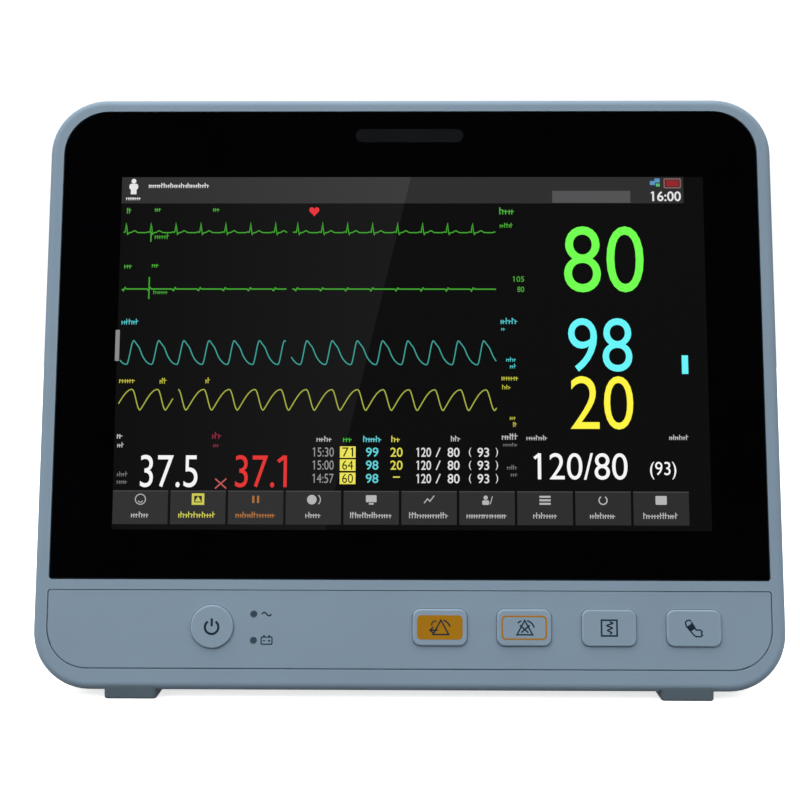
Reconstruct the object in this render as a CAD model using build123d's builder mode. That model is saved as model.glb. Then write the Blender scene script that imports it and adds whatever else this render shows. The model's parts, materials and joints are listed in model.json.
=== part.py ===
from build123d import *
import os
from math import cos, pi, radians, sin

# Bedside patient monitor with a 10.1-inch touch screen in a face that leans back.
# Millimetres. +Z is up, the face looks along -Y, +X is to the right of someone facing it.
# The origin is on the table, midway between the widest sides and between the front and the back.

os.makedirs("parts", exist_ok=True)

# ---------------------------------------------------------------- driving dimensions
LEAN = 10.0  # the face leans back by this angle
DEPTH = 130.0  # front edge to rear face
FOOT_DROP = 3.6  # lower edge of the face above the table

FACE_W = 279.0
FACE_H = 225.9
FACE_R = 21.5
FRAME_D = 24.0  # depth of the front frame, square to the face
FRAME_WALL = 2.8
CHIN_WALL = 5.0  # thickness of the frame's lower wall
UNDERSIDE_Z = 2.0  # the frame's underside is level at this height, behind its front edge
EDGE_R = 2.8  # rounding of the frame's front edge
REAR_EDGE_R = 0.8
PLATE_D = 5.7  # depth of the front plate's rear side

GLASS_W = 267.8
GLASS_LOW = 40.5
GLASS_TOP = 220.7
GLASS_R = 17.0
GLASS_FRONT = 0.4
GLASS_T = 2.0
GASKET_T = 0.8
WINDOW_W = 252.0
WINDOW_LOW = 47.7
WINDOW_TOP = 203.7

PANEL_W = 268.2
PANEL_LOW = 7.8
PANEL_TOP = 36.5
PANEL_R = 15.0
PANEL_FRONT = 0.2
PANEL_T = 2.5
GROOVE = 0.18  # between the key panel and the frame

KEY_V = 23.1
KEY_W = 20.2
KEY_H = 13.5
KEY_R = 3.0
KEY_PROUD = 0.8
KEY_GAP = 0.15
KEY_TRAVEL = 1.0
KEY_U = {
    "alarm_reset_key": 11.6,
    "alarm_pause_key": 42.7,
    "record_key": 74.0,
    "pressure_key": 105.2,
}
POWER_U = -72.7
POWER_R = 8.0
LED_U = -57.3
LED_V = (27.7, 18.1)  # the mains lamp and the battery lamp
LED_R = 1.3

LAMP_V = 211.2
LAMP_W = 41.7
LAMP_H = 5.3

LCD_U = -2.85
LCD_V = 126.8
LCD_W = 229.5
LCD_H = 149.1
LCD_T = 4.5
LCD_FRONT = GLASS_FRONT + GLASS_T + 0.1

CASE_W = 272.0  # the rear case is this wide beside the frame
CASE_LOW = 5.7
CASE_TOP_MID = 215.3
CASE_LIP_GAP = 0.7  # between the case's lip and the frame's inside
CASE_R = 18.0
CASE_WALL = 2.6
SHOULDER_Y = 46.0  # from here back the case tapers
REAR_W = 244.0
REAR_LOW = 10.0
REAR_TOP = 198.0
REAR_R = 20.0

REAR_Y = DEPTH / 2
SIDE_X = CASE_W / 2
INNER_X = SIDE_X - CASE_WALL
FACE_MID = FACE_H / 2
GLASS_V = (GLASS_LOW + GLASS_TOP) / 2
GLASS_H = GLASS_TOP - GLASS_LOW
PANEL_V = (PANEL_LOW + PANEL_TOP) / 2
PANEL_H = PANEL_TOP - PANEL_LOW
WINDOW_V = (WINDOW_LOW + WINDOW_TOP) / 2
WINDOW_H = WINDOW_TOP - WINDOW_LOW

COS = cos(radians(LEAN))
SIN = sin(radians(LEAN))
ROUNDED_OFF = EDGE_R * (SIN + COS - 1)  # what the edge's rounding takes off the front
FRONT_Y = -DEPTH / 2 - ROUNDED_OFF
FACE = Plane(origin=(0, FRONT_Y, FOOT_DROP), x_dir=(1, 0, 0), z_dir=(0, -COS, SIN))
OUTWARD = Axis(FACE.origin, FACE.z_dir)


# ---------------------------------------------------------------- planes and helpers
def behind(depth):
    """Plane parallel to the face, this far behind its front. Local X is across and local Y is up the face."""
    return FACE.offset(-depth)


def upright(y):
    """Upright plane at this Y that looks to the front. Local X is X and local Y is Z."""
    return Plane(origin=(0, y, 0), x_dir=(1, 0, 0), z_dir=(0, -1, 0))


def beside(x):
    """Upright plane at this X that looks to +X. Local X is Y and local Y is Z."""
    return Plane(origin=(x, 0, 0), x_dir=(0, 1, 0), z_dir=(1, 0, 0))


def where(v, depth):
    """Y and Z of a point that is v up the face and this deep behind it."""
    return FRONT_Y + v * SIN + depth * COS, FOOT_DROP + v * COS - depth * SIN


def write(piece, name):
    """Names a finished piece and writes its file."""
    piece.part.label = name
    export_step(piece.part, f"parts/{name}.step")


def box_between(low, high):
    """Adds a box between two corners to the piece that is being built."""
    size = [b - a for a, b in zip(low, high)]
    with Locations(tuple((a + b) / 2 for a, b in zip(low, high))):
        Box(*size)


def cut_between(low, high):
    """Cuts a box between two corners from the piece that is being built."""
    size = [b - a for a, b in zip(low, high)]
    with Locations(tuple((a + b) / 2 for a, b in zip(low, high))):
        Box(*size, mode=Mode.SUBTRACT)


def glass_outline(sketch, margin):
    """Draws the glass's outline, grown by margin: rounded above, nearly square below."""
    with Locations((0, GLASS_V)):
        Rectangle(GLASS_W + 2 * margin, GLASS_H + 2 * margin)
    fillet(sketch.vertices().group_by(Axis.Y)[-1], GLASS_R + margin)
    fillet(sketch.vertices().group_by(Axis.Y)[0], 1.0 + margin)


def panel_outline(sketch, margin):
    """Draws the key panel's outline, grown by margin: rounded below, nearly square above."""
    with Locations((0, PANEL_V)):
        Rectangle(PANEL_W + 2 * margin, PANEL_H + 2 * margin)
    fillet(sketch.vertices().group_by(Axis.Y)[0], PANEL_R + margin)
    fillet(sketch.vertices().group_by(Axis.Y)[-1], 1.0 + margin)


# ---------------------------------------------------------------- front frame
BRACKET_POSTS = [(u, v) for u in (-129.0, 129.0) for v in (62.0, 127.0, 192.0)]
CHASSIS_POSTS = [(u, v) for u in (-129.0, 129.0) for v in (52.0, 200.0)]
BOARD_POSTS = [(-95.0, 32.5), (-30.0, 32.5), (-30.0, 12.5), (125.0, 32.5), (125.0, 14.5)]
LAMP_POSTS = [(-29.0, LAMP_V), (29.0, LAMP_V)]
PANEL_SEAT = PANEL_FRONT + PANEL_T
GLASS_SEAT = GLASS_FRONT + GLASS_T + GASKET_T
BRACKET_D = LCD_FRONT + LCD_T
CHASSIS_D = 17.0
BOARD_D = 11.2
LAMP_BOARD_D = 9.5
FLANGE_MARGIN = 1.5
INNER_H = FACE_H - FRAME_WALL - CHIN_WALL
INNER_V = CHIN_WALL + INNER_H / 2

with BuildPart() as frame_form:
    with BuildSketch(behind(FRAME_D)):
        with Locations((0, FACE_MID)):
            RectangleRounded(FACE_W, FACE_H, FACE_R)
    extrude(amount=FRAME_D)
    fillet(frame_form.faces().sort_by(OUTWARD)[-1].edges(), EDGE_R)
    fillet(frame_form.faces().sort_by(OUTWARD)[0].edges(), REAR_EDGE_R)
    cut_between((-FACE_W, FRONT_Y, -FRAME_D), (FACE_W, 0, UNDERSIDE_Z))

with BuildPart() as front_frame:
    add(frame_form.part)
    with BuildSketch(behind(FRAME_D)):
        with Locations((0, INNER_V)):
            RectangleRounded(FACE_W - 2 * FRAME_WALL, INNER_H, FACE_R - FRAME_WALL)
    extrude(amount=FRAME_D - PLATE_D, mode=Mode.SUBTRACT)
    with BuildSketch(behind(PLATE_D)):
        with Locations(*LAMP_POSTS):
            Circle(3.0)
    extrude(amount=PLATE_D - LAMP_BOARD_D)
    with BuildSketch(behind(PLATE_D)):
        with Locations(*BOARD_POSTS):
            Circle(2.6)
    extrude(amount=PLATE_D - BOARD_D)
    with BuildSketch(behind(PLATE_D)):
        with Locations(*BRACKET_POSTS):
            Circle(3.2)
    extrude(amount=PLATE_D - BRACKET_D)
    with BuildSketch(behind(PLATE_D)):
        with Locations(*CHASSIS_POSTS):
            Circle(4.0)
    extrude(amount=PLATE_D - CHASSIS_D)
    with BuildSketch(behind(GLASS_SEAT)) as glass_seat:
        glass_outline(glass_seat, 0.2)
    extrude(amount=GLASS_SEAT + 1, mode=Mode.SUBTRACT)
    with BuildSketch(behind(PLATE_D)):
        with Locations((0, WINDOW_V)):
            RectangleRounded(WINDOW_W, WINDOW_H, 3.0)
        with Locations((0, LAMP_V)):
            RectangleRounded(LAMP_W + 1.0, LAMP_H + 1.0, LAMP_H / 2)
    extrude(amount=PLATE_D, mode=Mode.SUBTRACT)
    with BuildSketch(behind(PANEL_SEAT)) as panel_seat:
        panel_outline(panel_seat, GROOVE)
    extrude(amount=PANEL_SEAT + 1, mode=Mode.SUBTRACT)
    with BuildSketch(behind(PLATE_D)):
        with Locations(*[(u, KEY_V) for u in KEY_U.values()]):
            RectangleRounded(KEY_W + 4.6, KEY_H + 4.6, 3.0)
        with Locations((POWER_U, KEY_V)):
            Circle(POWER_R + 2.4)
        with Locations(*[(LED_U, v) for v in LED_V]):
            Circle(LED_R + 0.4)
    extrude(amount=PLATE_D, mode=Mode.SUBTRACT)
write(front_frame, "front_frame")

# ---------------------------------------------------------------- glass, lamp and display
with BuildPart() as touch_glass:
    with BuildSketch(behind(GLASS_FRONT + GLASS_T)) as glass_profile:
        glass_outline(glass_profile, 0)
        with Locations((0, LAMP_V)):
            SlotOverall(LAMP_W + 0.2, LAMP_H + 0.2, mode=Mode.SUBTRACT)
    extrude(amount=GLASS_T)
    chamfer(touch_glass.faces().sort_by(OUTWARD)[-1].outer_wire().edges(), 0.25)
write(touch_glass, "touch_glass")

with BuildPart() as glass_gasket:
    with BuildSketch(behind(GLASS_SEAT)) as gasket_profile:
        glass_outline(gasket_profile, -0.8)
        with Locations((0, WINDOW_V)):
            RectangleRounded(WINDOW_W + 2, WINDOW_H + 2, 3.0, mode=Mode.SUBTRACT)
        with Locations((0, LAMP_V)):
            SlotOverall(LAMP_W + 3, LAMP_H + 3, mode=Mode.SUBTRACT)
    extrude(amount=GASKET_T)
write(glass_gasket, "glass_gasket")

with BuildPart() as alarm_lamp_lens:
    with BuildSketch(behind(LAMP_BOARD_D - 1.2)):
        with Locations((0, LAMP_V)):
            SlotOverall(LAMP_W, LAMP_H)
    extrude(amount=LAMP_BOARD_D - 1.2 - GLASS_FRONT)
write(alarm_lamp_lens, "alarm_lamp_lens")

with BuildPart() as alarm_lamp_board:
    with BuildSketch(behind(LAMP_BOARD_D + 1.6)):
        with Locations((0, LAMP_V)):
            Rectangle(66, 8)
    extrude(amount=1.6)
    with BuildSketch(behind(LAMP_BOARD_D)):
        with GridLocations(6, 1, 6, 1):
            with Locations((0, LAMP_V)):
                Rectangle(3, 3)
    extrude(amount=0.8)
write(alarm_lamp_board, "alarm_lamp_board")

with BuildPart() as display_panel:
    with BuildSketch(behind(LCD_FRONT + LCD_T)):
        with Locations((LCD_U, LCD_V)):
            Rectangle(LCD_W, LCD_H)
    extrude(amount=LCD_T)
write(display_panel, "display_panel")

BRACKET_T = 1.2
with BuildPart() as display_bracket:
    with BuildSketch(behind(BRACKET_D + BRACKET_T)):
        with Locations((0, LCD_V)):
            RectangleRounded(266, 152, 4)
            RectangleRounded(190, 110, 6, mode=Mode.SUBTRACT)
        with Locations(*CHASSIS_POSTS):
            Circle(5.5, mode=Mode.SUBTRACT)
        with Locations(*BRACKET_POSTS):
            Circle(1.6, mode=Mode.SUBTRACT)
    extrude(amount=BRACKET_T)
write(display_bracket, "display_bracket")

# ---------------------------------------------------------------- key panel, keys and lenses
with BuildPart() as key_panel:
    with BuildSketch(behind(PANEL_SEAT)) as panel_profile:
        panel_outline(panel_profile, 0)
    extrude(amount=PANEL_T)
    fillet(key_panel.faces().sort_by(OUTWARD)[-1].edges(), 0.5)
    with BuildSketch(behind(PANEL_SEAT)):
        with Locations(*[(u, KEY_V) for u in KEY_U.values()]):
            RectangleRounded(KEY_W + 2 * KEY_GAP, KEY_H + 2 * KEY_GAP, KEY_R + KEY_GAP)
        with Locations((POWER_U, KEY_V)):
            Circle(POWER_R + KEY_GAP)
        with Locations(*[(LED_U, v) for v in LED_V]):
            Circle(LED_R + 0.05)
    extrude(amount=PANEL_T, mode=Mode.SUBTRACT)
write(key_panel, "key_panel")

SWITCH_H = 2.7
STEM_END = BOARD_D - SWITCH_H - KEY_TRAVEL - 0.05
FLANGE_BACK = PANEL_SEAT + 0.95


def make_key(name, u):
    """A rectangular key: cap, retaining flange behind the panel, and stem down to its switch."""
    with BuildPart() as key:
        with BuildSketch(behind(PANEL_SEAT)):
            with Locations((u, KEY_V)):
                RectangleRounded(KEY_W, KEY_H, KEY_R)
        extrude(amount=PANEL_SEAT + KEY_PROUD)
        fillet(key.faces().sort_by(OUTWARD)[-1].edges(), 0.7)
        with BuildSketch(behind(FLANGE_BACK)):
            with Locations((u, KEY_V)):
                RectangleRounded(KEY_W + 2 * FLANGE_MARGIN, KEY_H + 2 * FLANGE_MARGIN, KEY_R)
        extrude(amount=FLANGE_BACK - PANEL_SEAT)
        with BuildSketch(behind(STEM_END)):
            with Locations((u, KEY_V)):
                Circle(2.2)
        extrude(amount=STEM_END - FLANGE_BACK)
    write(key, name)


for key_name, key_u in KEY_U.items():
    make_key(key_name, key_u)

with BuildPart() as power_key:
    with BuildSketch(behind(PANEL_SEAT)):
        with Locations((POWER_U, KEY_V)):
            Circle(POWER_R)
    extrude(amount=PANEL_SEAT + KEY_PROUD)
    fillet(power_key.faces().sort_by(OUTWARD)[-1].edges(), 0.7)
    with BuildSketch(behind(FLANGE_BACK)):
        with Locations((POWER_U, KEY_V)):
            Circle(POWER_R + FLANGE_MARGIN)
    extrude(amount=FLANGE_BACK - PANEL_SEAT)
    with BuildSketch(behind(STEM_END)):
        with Locations((POWER_U, KEY_V)):
            Circle(2.2)
    extrude(amount=STEM_END - FLANGE_BACK)
write(power_key, "power_key")

with BuildPart() as supply_lenses:
    with BuildSketch(behind(BOARD_D - 1.0)):
        with Locations(*[(LED_U, v) for v in LED_V]):
            Circle(LED_R)
    extrude(amount=BOARD_D - 1.0 - PANEL_FRONT + 0.15)
    fillet(supply_lenses.faces().group_by(OUTWARD)[-1].edges(), 0.3)
write(supply_lenses, "supply_lenses")

with BuildPart() as key_board:
    with BuildSketch(behind(BOARD_D + 1.6)):
        with Locations((14, KEY_V)):
            RectangleRounded(232, 26, 2)
        with Locations(*BOARD_POSTS):
            Circle(1.2, mode=Mode.SUBTRACT)
    extrude(amount=1.6)
    with BuildSketch(behind(BOARD_D)):
        with Locations(*[(LED_U, v) for v in LED_V]):
            Rectangle(3, 2)
    extrude(amount=0.8)
write(key_board, "key_board")

with BuildPart() as key_switches:
    with BuildSketch(behind(BOARD_D)):
        with Locations(*[(u, KEY_V) for u in [POWER_U, *KEY_U.values()]]):
            RectangleRounded(6, 6, 0.5)
    extrude(amount=SWITCH_H)
write(key_switches, "key_switches")

# ---------------------------------------------------------------- rear case
LIP_D = FRAME_D - 3.0  # the case's lip reaches 3 mm into the frame
CASE_H_FRONT = INNER_H - 2 * CASE_LIP_GAP
CASE_V_FRONT = INNER_V
IO_X = (-108.0, 93.0)
IO_TOP = 46.0
IO_FLOOR_Y = 50.0
IO_Z = 30.0  # height of the ports' middles
POCKET_X = 60.0
POCKET_Y = 24.0
POCKET_Z = 162.0
HANDLE_AT = (54.0, 194.5)
HANDLE_SIZE = (15.0, 13.0)
HANDLE_R = 5.0
VENT_POINTS = [(-85.0, 140.0), (85.0, 140.0)]
VENT_PITCH = 5.0
VENT_COUNT = 7
VENT_SIZE = (32.0, 2.0)
IO_WINDOW_EDGE = 6.0  # rim that is left of the tray's floor at each end
IO_WINDOW_H = 24.0
WELL_POINTS = [(-95.0, 194.0), (95.0, 194.0), (-100.0, 84.0), (100.0, 126.0)]
WELL_D = 60.0
WELL_SHOULDER = 4.0
INSERT_POINTS = [(x, z) for x in (-37.5, 37.5) for z in (67.5, 142.5)]
INSERT_L = 8.0
PSU_POINTS = [(x, z) for x in (-52.0, 52.0) for z in (85.0, 125.0)]
PSU_Y = 31.6
SOCKET_WINDOW = ((3.0, 37.0), (76.0, 190.0))
BATTERY_Y = (-26.5, 32.5)
BATTERY_Z = (26.0, 51.0)
BAY_Y = (-19.0, 39.0)
BAY_Z = (26.0, 100.4)


def case_form(shrink, lip_d, rear_y):
    """The rear case's outer form, or its hollow when shrunk by the wall."""
    with BuildPart() as form:
        with BuildSketch(behind(lip_d)):
            with Locations((0, CASE_V_FRONT)):
                RectangleRounded(CASE_W - 2 * shrink, CASE_H_FRONT - 2 * shrink, CASE_R - shrink)
        with BuildSketch(upright(SHOULDER_Y)):
            with Locations((0, (CASE_LOW + CASE_TOP_MID) / 2)):
                RectangleRounded(
                    CASE_W - 2 * shrink, CASE_TOP_MID - CASE_LOW - 2 * shrink, CASE_R - shrink
                )
        loft(ruled=True)
        with BuildSketch(upright(SHOULDER_Y)):
            with Locations((0, (CASE_LOW + CASE_TOP_MID) / 2)):
                RectangleRounded(
                    CASE_W - 2 * shrink, CASE_TOP_MID - CASE_LOW - 2 * shrink, CASE_R - shrink
                )
        with BuildSketch(upright(rear_y)):
            with Locations((0, (REAR_LOW + REAR_TOP) / 2)):
                RectangleRounded(
                    REAR_W - 2 * shrink, REAR_TOP - REAR_LOW - 2 * shrink, REAR_R - shrink
                )
        loft(ruled=True)
    return form.part


case_outer = case_form(0, LIP_D, REAR_Y)
case_hollow = case_form(CASE_WALL, LIP_D, REAR_Y - CASE_WALL)


def handle_pocket(grow):
    """The room behind the carry handle, grown on its closed sides."""
    with BuildPart() as pocket:
        box_between(
            (-POCKET_X - grow, POCKET_Y - grow, POCKET_Z - grow),
            (POCKET_X + grow, REAR_Y + 5, CASE_TOP_MID + 20),
        )
    return pocket.part


def plug_bay(grow):
    """The room for the plugs at the lower rear edge, grown on its closed sides."""
    with BuildPart() as bay:
        box_between(
            (IO_X[0] - grow, IO_FLOOR_Y - grow, 0), (IO_X[1] + grow, REAR_Y + 5, IO_TOP + grow)
        )
    return bay.part


with BuildPart() as case_bosses:
    with BuildSketch(behind(WELL_D)):
        with Locations(*WELL_POINTS):
            Circle(5.5)
    extrude(amount=-100)
    with BuildSketch(upright(REAR_Y - 1)):
        with Locations(*INSERT_POINTS):
            Circle(5.0)
    extrude(amount=INSERT_L + 1)
    with BuildSketch(upright(REAR_Y - 1)):
        with Locations(*PSU_POINTS):
            Circle(3.5)
    extrude(amount=REAR_Y - 1 - PSU_Y)
    add(case_outer, mode=Mode.INTERSECT)

with BuildPart() as rear_case:
    add(case_outer)
    add(case_hollow, mode=Mode.SUBTRACT)
    add(handle_pocket(CASE_WALL), mode=Mode.SUBTRACT)
    add(plug_bay(CASE_WALL), mode=Mode.SUBTRACT)
    add(case_bosses.part)
    with BuildSketch(behind(WELL_D)):
        with Locations(*WELL_POINTS):
            Circle(1.7)
    extrude(amount=-WELL_SHOULDER, mode=Mode.SUBTRACT)
    with BuildSketch(behind(WELL_D + WELL_SHOULDER)):
        with Locations(*WELL_POINTS):
            Circle(3.75)
    extrude(amount=-100, mode=Mode.SUBTRACT)
    with BuildSketch(upright(REAR_Y)):
        with Locations(*INSERT_POINTS):
            Circle(2.95)
    extrude(amount=INSERT_L, mode=Mode.SUBTRACT)
    with BuildSketch(beside(-SIDE_X - 1)):
        with Locations((sum(SOCKET_WINDOW[0]) / 2, sum(SOCKET_WINDOW[1]) / 2)):
            RectangleRounded(
                SOCKET_WINDOW[0][1] - SOCKET_WINDOW[0][0], SOCKET_WINDOW[1][1] - SOCKET_WINDOW[1][0], 4
            )
    extrude(amount=CASE_WALL + 2, mode=Mode.SUBTRACT)
    cut_between(
        (-SIDE_X - 1, BATTERY_Y[0], BATTERY_Z[0]), (-INNER_X + 1, BATTERY_Y[1], BATTERY_Z[1])
    )
    cut_between((INNER_X - 1, BAY_Y[0], BAY_Z[0]), (SIDE_X + 1, BAY_Y[1], BAY_Z[1]))
    with BuildSketch(upright(REAR_Y)):
        with Locations(*VENT_POINTS):
            with GridLocations(1, VENT_PITCH, 1, VENT_COUNT):
                SlotOverall(*VENT_SIZE)
    extrude(amount=CASE_WALL + 1, mode=Mode.SUBTRACT)
write(rear_case, "rear_case")

with BuildPart() as handle_cup:
    add(handle_pocket(CASE_WALL))
    add(case_outer, mode=Mode.INTERSECT)
    add(handle_pocket(0), mode=Mode.SUBTRACT)
write(handle_cup, "handle_cup")

with BuildPart() as connector_tray:
    add(plug_bay(CASE_WALL))
    add(case_outer, mode=Mode.INTERSECT)
    add(plug_bay(0), mode=Mode.SUBTRACT)
    with BuildSketch(upright(IO_FLOOR_Y)):
        with Locations(((IO_X[0] + IO_X[1]) / 2, IO_Z)):
            Rectangle(IO_X[1] - IO_X[0] - 2 * IO_WINDOW_EDGE, IO_WINDOW_H)
    extrude(amount=CASE_WALL + 1, mode=Mode.SUBTRACT)
write(connector_tray, "connector_tray")

with BuildPart() as case_seal:
    with BuildSketch(behind(FRAME_D)):
        with Locations((0, INNER_V)):
            RectangleRounded(FACE_W - 2 * FRAME_WALL, INNER_H, FACE_R - FRAME_WALL)
        with Locations((0, CASE_V_FRONT)):
            RectangleRounded(CASE_W, CASE_H_FRONT, CASE_R, mode=Mode.SUBTRACT)
    extrude(amount=2.5)
    add(case_outer, mode=Mode.SUBTRACT)
write(case_seal, "case_seal")

with BuildPart() as carry_handle:
    with BuildSketch(beside(-POCKET_X)):
        with Locations(HANDLE_AT):
            RectangleRounded(*HANDLE_SIZE, HANDLE_R)
    extrude(amount=2 * POCKET_X)
write(carry_handle, "carry_handle")

# ---------------------------------------------------------------- feet
FOOT_X = 102.6
FOOT_W = 19.4
FOOT_FRONT_Y = FRONT_Y + 0.5
FOOT_L = 20.0
FOOT_R = 1.5
FOOT_EDGE_R = 0.8
FRONT_FOOT_H = FOOT_DROP + 1.5  # before the frame's rounded edge is cut out of it
REAR_FOOT_Y = 34.0
REAR_FOOT_L = 15.0
REAR_FOOT_R = 3.0

with BuildPart() as front_feet:
    with BuildSketch(Plane.XY):
        for sign in (-1, 1):
            with Locations((sign * FOOT_X, FOOT_FRONT_Y + FOOT_L / 2)):
                RectangleRounded(FOOT_W, FOOT_L, FOOT_R)
    extrude(amount=FRONT_FOOT_H)
    fillet(front_feet.edges().group_by(Axis.Z)[0], FOOT_EDGE_R)
    add(frame_form.part, mode=Mode.SUBTRACT)
    with BuildSketch(Plane.XY.offset(UNDERSIDE_Z)):
        with Locations((0, FOOT_FRONT_Y + FRAME_D)):
            Rectangle(FACE_W, FRAME_D)
    extrude(amount=FRONT_FOOT_H, mode=Mode.SUBTRACT)

with BuildPart() as rear_feet:
    with BuildSketch(Plane.XY):
        with Locations((-FOOT_X, REAR_FOOT_Y), (FOOT_X, REAR_FOOT_Y)):
            RectangleRounded(FOOT_W, REAR_FOOT_L, REAR_FOOT_R)
    extrude(amount=CASE_LOW)
    fillet(rear_feet.edges().group_by(Axis.Z)[0], FOOT_EDGE_R)
    add(case_outer, mode=Mode.SUBTRACT)

with BuildPart() as feet:
    add(front_feet.part)
    add(rear_feet.part)
write(feet, "feet")

# ---------------------------------------------------------------- chassis and case fasteners
CHASSIS_T = 1.5
BOARD_STANDOFF = 6.0
MAIN_U = -10.0
MAIN_V = 142.0
MAIN_W = 140.0
MAIN_H = 84.0
MAIN_POINTS = [(MAIN_U + a * 64, MAIN_V + b * 36) for a in (-1, 1) for b in (-1, 1)]

with BuildPart() as chassis_plate:
    with BuildSketch(behind(CHASSIS_D + CHASSIS_T)):
        with Locations((0, 126)):
            RectangleRounded(266, 160, 6)
        with Locations((0, 77)):
            RectangleRounded(90, 40, 6, mode=Mode.SUBTRACT)
        with Locations(*CHASSIS_POSTS):
            Circle(1.7, mode=Mode.SUBTRACT)
    extrude(amount=CHASSIS_T)
    with BuildSketch(behind(CHASSIS_D + CHASSIS_T)):
        with Locations(*MAIN_POINTS):
            Circle(2.5)
    extrude(amount=-BOARD_STANDOFF)
write(chassis_plate, "chassis_plate")

with BuildPart() as frame_screws:
    for points, seat in ((BRACKET_POSTS, BRACKET_D + BRACKET_T), (CHASSIS_POSTS, CHASSIS_D + CHASSIS_T)):
        with BuildSketch(behind(seat)):
            with Locations(*points):
                Circle(2.7)
        extrude(amount=-1.8)
        with BuildSketch(behind(seat)):
            with Locations(*points):
                Circle(1.4)
        extrude(amount=BRACKET_T)
write(frame_screws, "frame_screws")

with BuildPart() as case_posts:
    with BuildSketch(behind(WELL_D)):
        with Locations(*WELL_POINTS):
            RegularPolygon(4.0, 6)
    extrude(amount=WELL_D - CHASSIS_D - CHASSIS_T)
    with BuildSketch(behind(WELL_D)):
        with Locations(*WELL_POINTS):
            Circle(1.55)
    extrude(amount=12, mode=Mode.SUBTRACT)
write(case_posts, "case_posts")

with BuildPart() as case_screws:
    with BuildSketch(behind(WELL_D - 10)):
        with Locations(*WELL_POINTS):
            Circle(1.5)
    extrude(amount=-10 - WELL_SHOULDER)
    with BuildSketch(behind(WELL_D + WELL_SHOULDER)):
        with Locations(*WELL_POINTS):
            Circle(2.9)
            RegularPolygon(1.4, 6, mode=Mode.SUBTRACT)
    extrude(amount=-2.4)
    with BuildSketch(behind(WELL_D + WELL_SHOULDER)):
        with Locations(*WELL_POINTS):
            RegularPolygon(1.4, 6)
    extrude(amount=-0.8)
write(case_screws, "case_screws")

with BuildPart() as mount_inserts:
    with BuildSketch(upright(REAR_Y)):
        with Locations(*INSERT_POINTS):
            Circle(2.9)
            Circle(1.65, mode=Mode.SUBTRACT)
    extrude(amount=INSERT_L)
write(mount_inserts, "mount_inserts")

# ---------------------------------------------------------------- boards and works inside
with BuildPart() as main_board:
    with BuildSketch(behind(CHASSIS_D + CHASSIS_T + BOARD_STANDOFF)):
        with Locations((MAIN_U, MAIN_V)):
            Rectangle(MAIN_W, MAIN_H)
    extrude(amount=-1.6)
    with BuildSketch(behind(CHASSIS_D + CHASSIS_T + BOARD_STANDOFF + 1.6)):
        with Locations((MAIN_U, MAIN_V)):
            Rectangle(24, 24)
        with Locations((MAIN_U - 45, MAIN_V), (MAIN_U + 48, MAIN_V + 10), (MAIN_U + 48, MAIN_V - 20)):
            Rectangle(14, 18)
    extrude(amount=-2.5)
write(main_board, "main_board")

HEATSINK_D = CHASSIS_D + CHASSIS_T + BOARD_STANDOFF + 1.6 + 2.5
with BuildPart() as heat_sink:
    with BuildSketch(behind(HEATSINK_D)):
        with Locations((MAIN_U, MAIN_V)):
            Rectangle(46, 46)
    extrude(amount=-3)
    with BuildSketch(behind(HEATSINK_D + 3)):
        with Locations((MAIN_U, MAIN_V)):
            with GridLocations(5.5, 1, 9, 1):
                Rectangle(1.5, 46)
    extrude(amount=-8)
write(heat_sink, "heat_sink")

with BuildPart() as power_supply_board:
    box_between((-58, PSU_Y - 1.6, 80), (60, PSU_Y, 130))
    box_between((-50, PSU_Y - 22, 90), (-26, PSU_Y - 1.6, 122))
    box_between((-18, PSU_Y - 18, 96), (4, PSU_Y - 1.6, 114))
    with BuildSketch(upright(PSU_Y - 1.6)):
        with Locations((22, 100), (40, 100)):
            Circle(7)
    extrude(amount=20)
write(power_supply_board, "power_supply_board")

with BuildPart() as parameter_board:
    box_between((-114, -4, 108), (-112.4, 36, 198))
    box_between((-112.4, 4, 120), (-109, 28, 150))
    box_between((-112.4, 6, 165), (-109, 26, 180))
write(parameter_board, "parameter_board")

HOSE_R = 2.8
HOSE_X = -112.0
NOZZLE_X = -80.0
PUMP_Y = 20.0
PUMP_Z = 66.0
with BuildPart() as pressure_pump:
    with BuildSketch(beside(-91)):
        with Locations((PUMP_Y, PUMP_Z)):
            Circle(12.8)
    extrude(amount=50)
    with BuildSketch(Plane.XY.offset(PUMP_Z)):
        with Locations((NOZZLE_X, PUMP_Y)):
            Circle(1.6)
    extrude(amount=18)
write(pressure_pump, "pressure_pump")

with BuildPart() as pressure_valve:
    box_between((-40.8, 12, 56), (-22, 28, 74))
write(pressure_valve, "pressure_valve")

FITTING_Z = 92.0
with BuildPart() as pressure_hose:
    with BuildLine() as hose_route:
        FilletPolyline(
            (HOSE_X, PUMP_Y, FITTING_Z),
            (NOZZLE_X, PUMP_Y, FITTING_Z),
            (NOZZLE_X, PUMP_Y, PUMP_Z + 13.2),
            radius=9,
        )
    with BuildSketch(beside(HOSE_X)):
        with Locations((PUMP_Y, FITTING_Z)):
            Circle(HOSE_R)
            Circle(1.7, mode=Mode.SUBTRACT)
    sweep(path=hose_route.line)
write(pressure_hose, "pressure_hose")

with BuildPart() as speaker:
    with BuildSketch(upright(REAR_Y - CASE_WALL)):
        with Locations((-85, 140)):
            Circle(20)
    extrude(amount=3)
    with BuildSketch(upright(REAR_Y - CASE_WALL - 3)):
        with Locations((-85, 140)):
            Circle(17)
    extrude(amount=5, taper=25)
    with BuildSketch(upright(REAR_Y - CASE_WALL - 8)):
        with Locations((-85, 140)):
            Circle(11)
    extrude(amount=6)
write(speaker, "speaker")

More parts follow.
